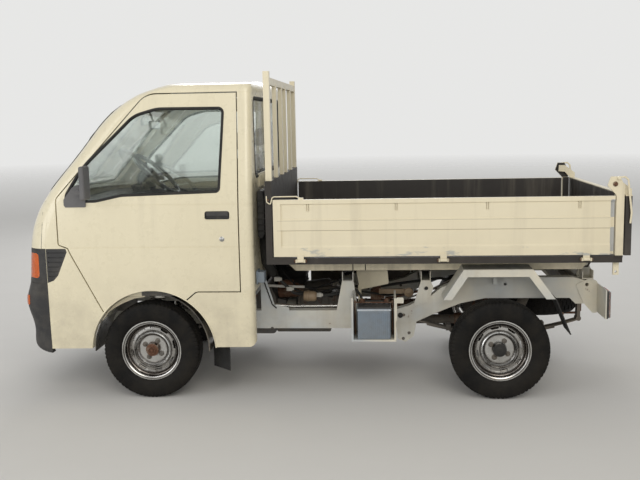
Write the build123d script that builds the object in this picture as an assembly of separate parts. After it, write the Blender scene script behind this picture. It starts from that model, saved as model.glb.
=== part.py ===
from build123d import *
import os
from math import acos, atan2, cos, hypot, radians, sin, sqrt, tan

# Kei dump truck, millimetres. Sizes are given with X forward from the front axle, Y to the truck's left from
# its centreline and Z up from the ground. The helpers below add origin_shift to each X, so that the part's
# own origin is under the middle of its outline, on the ground.

# Whole truck
wheelbase = 1900.0
front_end = 738.0
rear_end = -2557.0
body_half_width = 697.0
clearance = 6.5
seat_gap = 0.3
running_gap = 0.05
origin_shift = -(front_end + rear_end) / 2
rear_axle_x = -wheelbase
beyond = 900.0

# Wheels
tyre_radius = 268.0
tyre_width = 145.0
track_half = 602.0
axle_height = tyre_radius
stub_radius = 16.0
drum_radius = 92.0
drum_inner_end = -30.0
plate_thick = 5.0
lip_radius = 166.0
slot_count = 8
slot_circle = 120.0
slot_turn = 12.0
nut_count = 4
nut_circle = 52.0
nut_turn = 60.0

# Cab
cab_rear = -588.0
cab_wall = 40.0
cab_bottom = 286.0
cab_bottom_rear = 298.0
cab_base = 261.0
floor_top = 600.0
floor_thick = 28.0
crown_angle = 9.0
rear_corner = 34.0
roof_base = 1665.0
roof_top = 1737.0
roof_crown_radius = 6200.0
arch_centre_x = -22.0
arch_radius = 343.0
liner_radius = 318.0
liner_thick = 5.0
liner_inner_y = 372.0
liner_outer_y = 640.0
glass_depth = 9.0
glass_thick = 5.0
nose_seam = 550.0
bumper_top = 655.0
lamp_band_top = 846.0
front_panel_top = 1088.0
lamp_depth = 24.0
vent_depth = 8.0
louvre_pitch = 26.0
crease_depth = 1.6
crease_height = 4.0
recess_depth = 16.0

# Doors
door_axis_x = 455.0
door_axis_y = 685.0
door_edge_radius = 22.0
door_swing_radius = 965.0
door_low = 607.0
door_top = 1663.0
door_arch_x = 241.0

# Frame
rail_outer = 460.0
rail_width = 60.0
front_rail_outer = 345.0
front_rail_width = 55.0
rail_start = -345.0
rail_low = 345.0
rail_high = 448.0
front_rail_high = 430.0
rail_rear_low = 515.0
rail_rear_high = 631.0
rail_tail_low = 483.0
rail_tail_high = 596.0
frame_rear = -2452.0
hanger_plate = 5.0
leaf_thick = 8.0
leaf_count = 3
leaf_y = rail_outer - rail_width / 2
leaf_half = rail_width / 2 - hanger_plate - seat_gap
rear_shackle_x = -2352.0
channel_top = 668.0
channel_low = 614.0
channel_wall = 4.0
cover_y = rail_outer + clearance

# Dump bed
bed_front = -658.0
bed_wall_front = 34.0
bed_rear = -2515.0
bed_half = 690.0
bed_floor_low = 750.0
bed_floor_top = 787.0
bed_edge_top = 785.0
deck_half = 664.0
stringer_y = 405.0
stringer_low = 676.0
gate_low = bed_floor_top + 5.5
gate_top = 1096.0
gate_inner = 671.0
gate_skin = 690.0
gate_hinge_y = 704.0
gate_hinge_z = 770.0
gate_pin_radius = 4.5
hinge_plate = 8.0
front_wall_top = 1195.0
post_front = -2476.0
tail_hinge_x = -2468.0
tail_hinge_z = 1158.0
tail_pin_radius = 10.0
tail_front = -2524.0
bed_pivot_x = -2395.0
bed_pivot_z = 700.0
bed_pin_radius = 14.0
bed_lug_y = 380.0
bed_lug_thick = 20.0
guard_top = 1769.0
hook_hole_x = -2489.0
hook_hole_z = 698.0
hook_hole_radius = 7.0

# Number plate's two screws in the rear cross member
plate_screw_spacing = 210.0
plate_screw_radius = 3.5
plate_screw_depth = 20.0
plate_screw_z = 560.0

# Lift cylinder, pinned to the frame at its base and under the bed at its rod's eye
lift_base_x = -2250.0
lift_base_z = 430.0
lift_eye_x = -1950.0
lift_eye_z = 690.0
lift_drift = 10.0
lift_pin_radius = 10.0
barrel_radius = 37.0
barrel_bore = 30.0
barrel_end = 330.0
lift_rod_radius = 17.0
lift_rod_start = 60.0
cradle_y = 44.0

# Steering
strut_radius = 20.0
ball_y = 560.0
ball_z = 165.0
strut_top_y = 470.0
strut_top_z = 565.0
wheel_centre = (190.0, -330.0, 1180.0)
column_lean = 43.0
column_radius = 32.0
column_spindle = 9.0

os.makedirs("parts", exist_ok=True)


def at(x, y, z):
    return (x + origin_shift, y, z)


def across(y):
    return Plane(at(0, y, 0), x_dir=(1, 0, 0), z_dir=(0, -1, 0))


def box(x0, x1, y0, y1, z0, z1):
    middle = at((x0 + x1) / 2, (y0 + y1) / 2, (z0 + z1) / 2)
    return Pos(*middle) * Box(abs(x1 - x0), abs(y1 - y0), abs(z1 - z0))


def outline(points, radius, grow):
    line = FilletPolyline(*points, radius=radius, close=True) if radius else Polyline(*points, close=True)
    face = make_face(line)
    return offset(face, grow) if grow else face


def side_prism(points, y0, y1, radius=0.0, grow=0.0):
    # X, Z outline carried across from y0 to y1
    return extrude(across(y0) * outline(points, radius, grow), -(y1 - y0))


def corner_face(rows):
    # Closed outline, each row its X, Z and that corner's own radius
    arcs = []
    for i, (x, z, radius) in enumerate(rows):
        here = Vector(x, z)
        back = (Vector(*rows[i - 1][:2]) - here).normalized()
        ahead = (Vector(*rows[(i + 1) % len(rows)][:2]) - here).normalized()
        half_angle = acos(back.dot(ahead)) / 2
        reach = radius / tan(half_angle)
        middle = here + (back + ahead).normalized() * (radius / sin(half_angle) - radius)
        arcs.append((here + back * reach, middle, here + ahead * reach))
    edges = []
    for arc, following in zip(arcs, arcs[1:] + arcs[:1]):
        edges.append(ThreePointArc(*arc))
        edges.append(Line(arc[2], following[0]))
    return make_face(Wire(edges))


def corner_prism(rows, y0, y1, grow=0.0):
    face = corner_face(rows)
    return extrude(across(y0) * (offset(face, grow) if grow else face), -(y1 - y0))


def front_prism(points, x0, x1, radius=0.0, grow=0.0):
    # Y, Z outline carried forward from x0 to x1
    plane = Plane(at(x0, 0, 0), x_dir=(0, 1, 0), z_dir=(1, 0, 0))
    return extrude(plane * outline(points, radius, grow), x1 - x0)


def plan_prism(points, z0, z1, radius=0.0):
    # X, Y outline carried up from z0 to z1
    return extrude(Plane(at(0, 0, z0)) * outline(points, radius, 0), z1 - z0)


def rod_y(x, z, radius, y0, y1):
    return Pos(*at(x, (y0 + y1) / 2, z)) * Rot(90, 0, 0) * Cylinder(radius, abs(y1 - y0))


def rod_x(y, z, radius, x0, x1):
    return Pos(*at((x0 + x1) / 2, y, z)) * Rot(0, 90, 0) * Cylinder(radius, abs(x1 - x0))


def rod_between(start, end, radius):
    path = Vector(*end) - Vector(*start)
    return extrude(Plane(at(*start), z_dir=path) * Circle(radius), path.length)


def mirrored(shape):
    return mirror(shape, about=Plane.XZ)


def both_sides(*shapes):
    return [*shapes, *[mirrored(shape) for shape in shapes]]


def joined(shapes):
    whole = shapes[0]
    for shape in shapes[1:]:
        whole = whole + shape
    return whole


def save(name, *shapes):
    solids = [solid for shape in shapes for solid in shape.solids()]
    export_step(solids[0] if len(solids) == 1 else Compound(solids), f"parts/{name}.step")


# Cab skin, as horizontal sections from the sills to the gutter
# columns: height, middle of the front, half width, front corner radius
cab_rows = (
    (cab_base, 704.0, 684.0, 112.0),
    (400.0, 734.0, 691.0, 118.0),
    (560.0, front_end, 695.0, 120.0),
    (850.0, 712.0, body_half_width, 120.0),
    (965.0, 689.0, 695.0, 120.0),
    (1110.0, 618.0, 687.0, 115.0),
    (1350.0, 420.0, 656.0, 105.0),
    (1600.0, 192.0, 622.0, 96.0),
    (roof_base, 84.0, 610.0, 92.0),
)
# columns: height, middle of the front, half width, front corner radius, pull-in of the rear edge
roof_rows = (
    (roof_base, 84.0, 610.0, 92.0, 0.0),
    (1702.0, -22.0, 596.0, 110.0, 3.0),
    (1726.0, -112.0, 562.0, 130.0, 14.0),
    (1750.0, -250.0, 470.0, 150.0, 50.0),
)


def cab_section(height, front_x, half_width, corner, rear_pull=0.0, inset=0.0):
    # Straight rear, rounded rear corners, straight sides, front corners and a crowned front, all tangent
    half = half_width - inset
    nose = front_x - inset
    tail = cab_rear + rear_pull + inset
    front_r = corner - inset
    rear_r = max(rear_corner - inset, 4.0)
    turn = radians(crown_angle)
    crown_r = (half - front_r + front_r * sin(turn)) / sin(turn)
    corner_x = nose - front_r * cos(turn) - crown_r * (1 - cos(turn))
    start = (corner_x + front_r * cos(turn), half - front_r + front_r * sin(turn))
    mid_turn = radians(45 + crown_angle / 2)
    middle = (corner_x + front_r * cos(mid_turn), half - front_r + front_r * sin(mid_turn))
    slant = rear_r * (1 - sqrt(0.5))
    edges = [
        ThreePointArc((start[0], -start[1]), (nose, 0), start),
        ThreePointArc(start, middle, (corner_x, half)),
        Line((corner_x, half), (tail + rear_r, half)),
        ThreePointArc((tail + rear_r, half), (tail + slant, half - slant), (tail, half - rear_r)),
        Line((tail, half - rear_r), (tail, -half + rear_r)),
        ThreePointArc((tail, -half + rear_r), (tail + slant, -half + slant), (tail + rear_r, -half)),
        Line((tail + rear_r, -half), (corner_x, -half)),
        ThreePointArc((corner_x, -half), (middle[0], -middle[1]), (start[0], -start[1])),
    ]
    return Plane(at(0, 0, height)) * make_face(Wire(edges))


def cab_sides(inset=0.0):
    return loft([cab_section(*row, inset=inset) for row in cab_rows])


def cab_roof(inset=0.0):
    # The roof's rings, cut off by a wide cylinder that gives the crown across the truck
    rings = loft([cab_section(*row, inset) for row in roof_rows])
    crown = rod_x(0, roof_top - roof_crown_radius, roof_crown_radius, cab_rear - 10, front_end)
    return Pos(0, 0, -inset) * (rings & crown)


sides_outer = cab_sides()
sides_inner = cab_sides(cab_wall) & box(cab_rear, front_end, -beyond, beyond, 0, roof_base - 10)
shell = sides_outer + cab_roof() - sides_inner - cab_roof(cab_wall)

# Door as seen from the side, each point X, Z, and from above as its swing needs it
arch_meet_z = axle_height + sqrt(arch_radius ** 2 - (door_arch_x - arch_centre_x) ** 2)

# columns: X, Z, corner radius
door_rows_side = (
    (-700.0, door_low, 5.0), (-270.0, door_low, 40.0), (-200.0, 549.0, 4.0), (-200.0, 400.0, 4.0),
    (door_arch_x, 400.0, 4.0), (door_arch_x, arch_meet_z, 4.0), (408.0, 812.0, 30.0), (424.0, 850.0, 16.0),
    (474.0, 868.0, 12.0), (480.0, 1050.0, 200.0), (480.0, 1112.0, 50.0), (-22.0, door_top, 120.0),
    (-700.0, door_top, 5.0),
)


def door_outline(extra=0.0):
    return corner_prism(door_rows_side, 520, 720, extra)


def door_plan(extra=0.0):
    # The disc round the hinge, and all behind it within the circle that the rear edge swings on
    reach = door_swing_radius + extra
    disc = Pos(door_axis_x, door_axis_y) * Circle(door_edge_radius + extra)
    swing = Pos(door_axis_x, door_axis_y) * Circle(reach)
    band = Pos(door_axis_x - reach / 2 + extra / 2, door_axis_y - 40) * Rectangle(reach + extra, 320)
    return extrude(Plane(at(0, 0, 0)) * (disc + (swing & band)), 2000)


arch_cut = rod_y(arch_centre_x, axle_height, arch_radius, -beyond, beyond)
arch_cut = arch_cut + box(arch_centre_x - arch_radius, arch_centre_x + arch_radius, -beyond, beyond, 100, axle_height)
door_body = (shell & door_outline() & door_plan()) - arch_cut
door_void = door_outline(clearance) & door_plan(clearance)

# Window openings: the side one in X, Z with its corner radii, the others in Y, Z
side_window = (
    (-415.0, 1141.0, 24.0), (-442.0, 1588.0, 28.0), (-80.0, 1591.0, 240.0), (48.0, 1556.0, 170.0),
    (330.0, 1287.0, 500.0), (424.0, 1141.0, 60.0), (430.0, 1096.0, 20.0), (262.0, 1096.0, 60.0),
    (120.0, 1126.0, 120.0),
)
windscreen_outline = ((-598.0, 1126.0), (598.0, 1126.0), (545.0, 1618.0), (-545.0, 1618.0))
rear_window_outline = ((-545.0, 1205.0), (545.0, 1205.0), (556.0, 1642.0), (-556.0, 1642.0))
end_corner = 52.0


def side_window_prism(grow=0.0):
    return corner_prism(side_window, 500, 760, grow)


def windscreen_prism(grow=0.0):
    return front_prism(windscreen_outline, 150, 760, end_corner, grow)


def rear_window_prism(grow=0.0):
    return front_prism(rear_window_outline, cab_rear - 60, cab_rear + 90, end_corner, grow)


# Nose pieces, each the whole thickness of the shell


def nose_cut(low, high, extra=0.0):
    if high <= lamp_band_top:
        return box(nose_seam - extra, front_end + 50, -beyond, beyond, low - extra, high + extra)
    points = [
        (nose_seam - extra, low - extra),
        (nose_seam + 300, low - extra),
        (nose_seam + 300, high + extra),
        (512.0 - extra, high + extra),
        (532.0 - extra, 1028.0),
        (542.0 - extra, 944.0),
    ]
    return side_prism(points, -beyond, beyond)


# columns: piece, low edge, high edge
nose_rows = (
    ("lamp_band", bumper_top + seat_gap, lamp_band_top),
    ("front_panel", lamp_band_top + seat_gap, front_panel_top),
)
nose = {piece: shell & nose_cut(low, high) for piece, low, high in nose_rows}

# The bumper stands a little proud of the cab and has squarer corners, a chin and two air slots
# columns: height, middle of the front, half width, front corner radius
bumper_rows = (
    (cab_base, 662.0, 682.0, 84.0),
    (318.0, 716.0, 689.0, 90.0),
    (385.0, 714.0, 692.0, 92.0),
    (470.0, 730.0, 695.0, 92.0),
    (600.0, front_end, body_half_width, 92.0),
    (700.0, 735.0, body_half_width, 92.0),
)


def bumper_form(inset=0.0):
    return loft([cab_section(*row, inset=inset) for row in bumper_rows])


bumper = (bumper_form() - bumper_form(cab_wall)) & nose_cut(200.0, bumper_top)
# columns: middle height, half length
air_slot_rows = ((352.0, 250.0), (396.0, 270.0))
for slot_z, half in air_slot_rows:
    air_slot = box(front_end - 160, front_end + 40, -half, half, slot_z - 12, slot_z + 12)
    bumper = bumper - fillet(air_slot.edges().filter_by(Axis.X), 10)
nose_void = nose_cut(200, lamp_band_top, seat_gap) + nose_cut(lamp_band_top, front_panel_top, seat_gap)

# Lamps let into the lamp band, and the dark vents behind it
vent_points = [(548.0, 845.0), (438.0, 845.0), (432.0, 827.0), (488.0, 698.0), (514.0, 670.0), (548.0, 658.0)]
lamp_corner = 18.0


def lamp_regions(grow=0.0):
    # columns: low x, near y, far y, low z, high z
    rows = ((500.0, 300.0, 548.0, 692.0, 818.0), (594.0, 566.0, 800.0, 684.0, 820.0))
    boxes = [box(x - grow, 800, y0 - grow, y1 + grow, z0 - grow, z1 + grow) for x, y0, y1, z0, z1 in rows]
    return [fillet(region.edges(), lamp_corner + grow) for region in boxes]


lamp_layer = sides_outer - cab_sides(lamp_depth)
lamp_pocket = sides_outer - cab_sides(lamp_depth + seat_gap)
head_lamp, corner_lamp = [region & lamp_layer for region in lamp_regions()]
lamp_void = joined([region & lamp_pocket for region in lamp_regions(seat_gap)])
vent = side_prism(vent_points, 600, 760) & (sides_outer - cab_sides(vent_depth))
louvre_field = side_prism(vent_points, 692.5, 760, grow=-9)
for row in range(6):
    louvre_z = 690 + row * louvre_pitch
    vent = vent - (louvre_field & box(400, 560, 600, 760, louvre_z, louvre_z + 7))
vent_void = side_prism(vent_points, 600, 760, grow=seat_gap) & (sides_outer - cab_sides(vent_depth + seat_gap))

# Cab shell, with everything cut out of it
rear_gap = box(cab_rear - 5, cab_rear + cab_wall + 60, -640, 640, 100, floor_top - floor_thick)
below_points = [(cab_rear - 50, 100), (cab_rear - 50, cab_bottom_rear), (nose_seam, cab_bottom), (nose_seam, 100)]
below_cab = side_prism(below_points, -beyond, beyond)
corner_x = cab_rear + rear_corner
corner_z = cab_bottom_rear + rear_corner
below_corner = box(cab_rear - 50, corner_x, -beyond, beyond, 200, corner_z)
below_corner = below_corner - rod_y(corner_x, corner_z, rear_corner, -beyond, beyond)
cab = shell - nose_void - arch_cut - below_cab - below_corner - rear_gap - windscreen_prism() - rear_window_prism()
for side in both_sides(door_void, vent_void):
    cab = cab - side

# Floor over the wheel houses
floor_plate = extrude(cab_section(floor_top - floor_thick, 690, 696, 120, inset=cab_wall), floor_thick)
liner_out = liner_radius + liner_thick
house = rod_y(0, axle_height, liner_out, liner_inner_y, liner_outer_y)
house = house - rod_y(0, axle_height, liner_radius, 0, beyond) - box(-400, 400, 0, beyond, -200, axle_height - 8)
inner_wall = box(-liner_out, liner_out, liner_inner_y, liner_inner_y + liner_thick, 430, floor_top - 5)
inner_wall = inner_wall - box(-150, 150, 0, beyond, 0, 520)
floor_low = floor_top - floor_thick - 10

# Pressed lines along the doors and on the panel behind them
crease_skin = sides_outer - cab_sides(crease_depth)
# columns: rear x, front x, height
crease_rows = (
    (-620.0, 425.0, 1078.0), (-620.0, 405.0, 850.0), (-620.0, -525.0, 604.0), (-620.0, -525.0, 590.0),
    (-620.0, -525.0, 576.0),
)
creases = joined([
    crease_skin & box(x0, x1, 600, 760, z - crease_height / 2, z + crease_height / 2) for x0, x1, z in crease_rows
])
for side in both_sides(creases):
    cab = cab - side
for side in both_sides(
    box(-262, 480, liner_outer_y, 700, floor_low, floor_top + 10),
    box(nose_seam - 1, 760, liner_outer_y, 700, floor_low, floor_top + 10),
):
    floor_plate = floor_plate - side
cab = cab + floor_plate
for side in both_sides(house + inner_wall):
    cab = cab + side

save("cab_shell", cab)
save("bumper", bumper)
save("lamp_band", nose["lamp_band"] - lamp_void - mirrored(lamp_void))
save("front_panel", nose["front_panel"])
save("head_lamps", *both_sides(head_lamp))
save("corner_lamps", *both_sides(corner_lamp))
save("side_vents", *both_sides(vent))

# Glass, a thin layer of the same skin in each opening
glass = cab_sides(glass_depth) - cab_sides(glass_depth + glass_thick)
save("cab_glass", glass & windscreen_prism(-seat_gap), glass & rear_window_prism(-seat_gap))

# Doors with their glass and mirrors
skin_y = 692.0
# columns: X, Z, corner radius
recess_rows = ((-332, 997, 10), (-332, 1041, 14), (-466, 1041, 14), (-466, 997, 10))
flap_rows = ((-338, 1014, 5), (-338, 1039, 10), (-460, 1039, 10), (-460, 1014, 5))
recess = corner_prism(recess_rows, skin_y - recess_depth, 760)
flap = corner_prism(flap_rows, skin_y - recess_depth - 2, skin_y - 4)
door = door_body - side_window_prism() - creases - recess + flap
door_glass = glass & side_window_prism(-seat_gap)
foot_points = [(434, 1082), (426, 1070), (314, 1070), (314, 1108), (350, 1192), (384, 1176), (434, 1112)]
mirror_foot = side_prism(foot_points, 670, 694, 5)
mirror_arm = box(288, 350, 684, 740, 1140, 1164)
mirror_head = fillet(box(274, 304, 712, 812, 1115, 1294).edges(), 12)
door_mirror = mirror_foot + mirror_arm + mirror_head - cab_sides(-seat_gap)
# columns: piece, left-hand shape
door_rows = (("door", door), ("door_glass", door_glass), ("door_mirror", door_mirror))
for piece, shape in door_rows:
    left, right = both_sides(shape)
    save(f"{piece}_left", left)
    save(f"{piece}_right", right)

# Seats: base, cushion, backrest and headrest
seat_shapes = []
for seat_y in (330.0, -330.0):
    base = box(-480, -90, seat_y - 200, seat_y + 200, floor_top + seat_gap, 700)
    cushion = side_prism(
        [(-60, 690), (-60, 800), (-110, 845), (-470, 830), (-500, 690)], seat_y - 235, seat_y + 235, 20
    )
    backrest = side_prism([(-385, 820), (-475, 1330), (-520, 1330), (-505, 820)], seat_y - 220, seat_y + 220, 14)
    headrest = side_prism([(-462, 1345), (-480, 1475), (-520, 1475), (-515, 1345)], seat_y - 120, seat_y + 120, 14)
    stalks = [box(-505, -490, seat_y + side - 7, seat_y + side + 7, 1300, 1360) for side in (-53, 53)]
    seat_shapes.append(joined([base, cushion, backrest, headrest, *stalks]))
save("seats", *seat_shapes)

# Dash with the steering column and its spindle
dash_points = [(300, 900), (300, 1010), (330, 1052), (470, 1075), (600, 1060), (700, 1000), (700, 900)]
dash = side_prism(dash_points, -600, 600, 15) & cab_sides(cab_wall + seat_gap)
column_axis = (-sin(radians(column_lean)), 0, cos(radians(column_lean)))
column_plane = Plane(at(*wheel_centre), x_dir=(0, 1, 0), z_dir=column_axis)
hub_low = -52.0
hub_high = -4.0
column = extrude(column_plane.offset(-420) * Circle(column_radius), 420 + hub_low - seat_gap)
spindle = extrude(column_plane.offset(hub_low - 20) * Circle(column_spindle), hub_high - hub_low + 12)
save("dash", dash + column + spindle)

# Steering wheel round the spindle
wheel_rim = column_plane * Torus(178, 14)
wheel_hub = extrude(column_plane.offset(hub_low) * Circle(38), hub_high - hub_low)
cross_spoke = column_plane.offset(-10) * Box(344, 34, 12)
low_spoke = column_plane.offset(-10) * Pos(0, -88, 0) * Box(34, 172, 12)
spindle_bore = extrude(column_plane.offset(hub_low - 20) * Circle(column_spindle + running_gap), 100)
save("steering_wheel", joined([wheel_rim, wheel_hub, cross_spoke, low_spoke]) - spindle_bore)

# Wheels, drawn about Z with the outer face up, then turned into place
# columns: place along the axle from the wheel's middle plane, radius
bore_radius = stub_radius + running_gap
rim_rows = (
    (58.0, lip_radius), (52.0, lip_radius), (49.0, 156.0), (20.0, 152.0), (12.0, 132.0), (-14.0, 132.0),
    (-24.0, 152.0), (-49.0, 156.0), (-52.0, lip_radius), (-58.0, lip_radius), (-58.0, 160.0), (-55.0, 150.0),
    (-26.0, 145.0), (-17.0, 125.0), (4.0, 125.0), (9.0, 119.0), (12.0, 104.0), (24.0, 92.0), (8.0, 78.0),
    (8.0, bore_radius), (42.0, bore_radius), (42.0, 34.0), (17.0, 36.0), (17.0, 78.0), (26.0, 88.0),
    (34.0, 93.0), (30.0, 98.0), (19.0, 108.0), (17.0, 122.0), (24.0, 130.0), (31.0, 135.0), (25.0, 141.0),
    (28.0, 146.0), (54.0, 150.0), (58.0, 158.0),
)
drum_rows = (
    (12.5, bore_radius), (12.5, drum_radius - 8), (6.0, drum_radius),
    (drum_inner_end, drum_radius), (drum_inner_end, bore_radius),
)
tyre_half = tyre_width / 2
tread_half = tyre_half - 14
tyre_rows = (
    (49.0 - seat_gap, 157.0), (51.6, 166.8), (60.0, 169.5), (68.0, 182.0), (tyre_half, 212.0),
    (tyre_half - 3, 240.0), (tread_half, tyre_radius - 3), (tread_half - 20, tyre_radius), (20 - tread_half, tyre_radius),
    (-tread_half, tyre_radius - 3), (3 - tyre_half, 240.0), (-tyre_half, 212.0), (-68.0, 182.0),
    (-60.0, 169.5), (-51.6, 166.8), (seat_gap - 49.0, 157.0), (-30.0, 160.0), (30.0, 160.0),
)


def turned(rows):
    return revolve(make_face(Polyline(*[(radius, 0, along) for along, radius in rows], close=True)), Axis.Z)


def make_rim():
    slot = Pos(slot_circle, 0, 6) * extrude(SlotOverall(46, 15, rotation=90), 60)
    nut = extrude(Pos(nut_circle, 0, 15) * RegularPolygon(10, 6), 16)
    slots = Compound([Rot(0, 0, slot_turn + 360 / slot_count * i) * slot for i in range(slot_count)])
    nuts = [Rot(0, 0, nut_turn + 360 / nut_count * i) * nut for i in range(nut_count)]
    return joined([turned(rim_rows) - slots, turned(drum_rows), *nuts])


rim = make_rim()
tyre = turned(tyre_rows)
for end, axle_x in (("front", 0.0), ("rear", rear_axle_x)):
    for side, middle_y, turn in (("left", track_half, -90), ("right", -track_half, 90)):
        place = Pos(*at(axle_x, middle_y, axle_height)) * Rot(turn, 0, 0)
        save(f"rim_{end}_{side}", place * rim)
        save(f"tyre_{end}_{side}", place * tyre)

# Front knuckles on the leaning strut axis: block, stub, back plate, strut tube, spring seat, steering arm
stub_end = track_half + 26.0
plate_y = track_half + drum_inner_end - plate_thick - clearance + 1.5


def on_strut(height):
    share = (height - ball_z) / (strut_top_z - ball_z)
    return (0.0, ball_y + share * (strut_top_y - ball_y), height)


knuckle_points = [(-22, ball_z + 14), (22, ball_z + 14), (30, axle_height), (22, 352), (-22, 352), (-30, axle_height)]
knuckle = joined([
    side_prism(knuckle_points, plate_y - 50, plate_y),
    rod_y(0, axle_height, drum_radius + 2, plate_y, plate_y + plate_thick),
    rod_y(0, axle_height, stub_radius, plate_y - 10, stub_end),
    rod_between(on_strut(310), on_strut(528), strut_radius),
    rod_between(on_strut(520), on_strut(528), 42),
    rod_between(on_strut(ball_z + 1), on_strut(ball_z + 30), 10),
    box(-130, -10, 500, 530, 240, 256),
])
save("knuckle_left", knuckle)
save("knuckle_right", mirrored(knuckle))

# Front cross member with the lower arms, the struts' upper mounts under the wheel houses, the leaf springs
arm_points = [(-14, 574), (14, 574), (60, 250), (60, 215), (-60, 215), (-60, 250)]
lower_arm = plan_prism(arm_points, ball_z - 20, ball_z - 2, 8)
arm_root = box(-60, 60, 215, 290, ball_z - 10, 200)
cross_leg = box(-40, 40, 290, front_rail_outer, 238, rail_low - seat_gap)
carrier = box(-70, 70, -front_rail_outer, front_rail_outer, 172, 240)
for side in both_sides(lower_arm, arm_root, cross_leg):
    carrier = carrier + side
floor_under = floor_top - floor_thick - seat_gap
top_mount = rod_between(on_strut(534), on_strut(612), 46) & box(-60, 60, 300, liner_outer_y, 0, floor_under)

# Leaf springs over the axle: a full top leaf and shorter ones below it, an eye in the rail, a shackle behind
spring_eye_x = -1390.0
spring_eye_z = 420.0
spring_eye_radius = 15.0
shackle_z = 398.0
leaf_overlap = 0.2
spring_mid = axle_height + 32 + seat_gap + leaf_count * leaf_thick - leaf_overlap


def leaf_edge(drop):
    return ThreePointArc(
        (spring_eye_x, spring_eye_z - drop), (rear_axle_x, spring_mid - drop), (rear_shackle_x, shackle_z - drop)
    )


def leaf(drop, cut_back):
    upper = leaf_edge(drop)
    lower = leaf_edge(drop + leaf_thick)
    face = make_face([upper, Line(upper @ 1, lower @ 1), lower, Line(lower @ 0, upper @ 0)])
    strip = extrude(across(leaf_y - leaf_half) * face, -leaf_half * 2)
    return strip & box(rear_shackle_x - 1 + cut_back, spring_eye_x + 1 - cut_back, 0, beyond, 0, 500)


leaf_ends = (leaf_y - leaf_half, leaf_y + leaf_half)
spring = joined([
    *[leaf(i * leaf_thick - (leaf_overlap if i else 0), i * 130.0) for i in range(leaf_count)],
    rod_y(spring_eye_x, spring_eye_z, spring_eye_radius, *leaf_ends),
    rod_y(rear_shackle_x, shackle_z, 14, *leaf_ends),
    box(rear_shackle_x - 9, rear_shackle_x + 9, *leaf_ends, shackle_z, rail_tail_low - seat_gap),
    box(rear_axle_x - 45, rear_axle_x + 45, *leaf_ends, spring_mid - 2, spring_mid + 12),
])
save("suspension", carrier, *both_sides(top_mount, spring))

# Frame: front rails, main rails with the kick-up over the axle, hangers, cross members, cab mounts, lamp plates
# each point X, Z
main_points = [
    (rail_start, rail_low), (-1330, rail_low), (-1440, 372), (-1564, 430), (-1703, 486), (-1838, rail_rear_low),
    (-2300, rail_rear_low), (-2332, rail_tail_low), (frame_rear, rail_tail_low), (frame_rear, rail_tail_high),
    (-2316, rail_rear_high), (-2155, rail_rear_high), (-1760, 640), (-1600, 575), (-1543, 530), (-1488, 509),
    (-1420, 474), (-1330, rail_high), (rail_start, rail_high),
]
hanger_points = [(-1350, 348), (-1356, 285), (-1400, 266), (-1446, 300), (-1462, 385), (-1440, 400)]
# Space between the rail's side plates for the spring's front eye
eye_pocket_points = [(-1368, 200), (-1368, 442), (-1400, 447), (-1545, 440), (-1545, 200)]
# Plate that rises from the rail to the cab's rear corner, and the plate that carries each tail lamp
plate_front = cab_rear - seat_gap
side_plate_points = [
    (plate_front, 440), (plate_front, 620), (-600, 636), (-617, 636), (-664, 481), (-743, 466), (-750, 440),
]
lamp_bracket_rows = [
    (-2330, 590, 12), (-2400, 622, 30), (-2448, 612, 20), (-2448, 432, 6), (-2424, 432, 6), (-2372, 490, 20),
]
rail_inner = rail_outer - rail_width
front_rail_inner = front_rail_outer - front_rail_width
frame_pieces = both_sides(
    box(-425, 640, front_rail_inner, front_rail_outer, rail_low, front_rail_high),
    side_prism(main_points, rail_inner, rail_outer)
    - side_prism(eye_pocket_points, rail_inner + hanger_plate, rail_outer - hanger_plate),
    box(-425, rail_start, front_rail_inner, rail_outer, rail_low, front_rail_high),
    side_prism(hanger_points, rail_outer - hanger_plate, rail_outer),
    side_prism(hanger_points, rail_inner, rail_inner + hanger_plate),
    box(frame_rear, frame_rear + 6, rail_outer - 10, 655, 440, rail_tail_high),
    box(420, 480, front_rail_inner + 5, front_rail_outer - 5, front_rail_high - 5, floor_under),
    box(-450, -400, rail_inner + 8, rail_outer - 8, rail_low + 20, floor_under),
    side_prism(side_plate_points, rail_outer - 8, rail_outer),
    corner_prism(lamp_bracket_rows, rail_outer, rail_outer + 5),
)
# columns: front x, rear x, half length, low, high
cross_rows = (
    (640.0, 580.0, 300.0, 345.0, 430.0),
    (-700.0, -750.0, 410.0, 350.0, 430.0),
    (-1020.0, -1070.0, 410.0, 355.0, 440.0),
    (-1500.0, -1550.0, 410.0, 455.0, 505.0),
    (-2300.0, -2345.0, 410.0, 535.0, 600.0),
    (-2400.0, frame_rear, 410.0, 500.0, 590.0),
)
for front_x, rear_x, half, low, high in cross_rows:
    frame_pieces.append(box(rear_x, front_x, -half, half, low, high))
frame = joined(frame_pieces)
screw_y = plate_screw_spacing / 2
screw_ends = (frame_rear - 1, frame_rear + plate_screw_depth)
for side in both_sides(rod_x(screw_y, plate_screw_z, plate_screw_radius, *screw_ends)):
    frame = frame - side
# columns: X, Z, radius
web_holes = ((spring_eye_x, spring_eye_z, 9.0), (-1950.0, 594.0, 8.0), (-2391.0, 590.0, 10.0))
for x, z, radius in web_holes:
    frame = frame - rod_y(x, z, radius, -beyond, beyond)
save("frame", frame)

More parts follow.
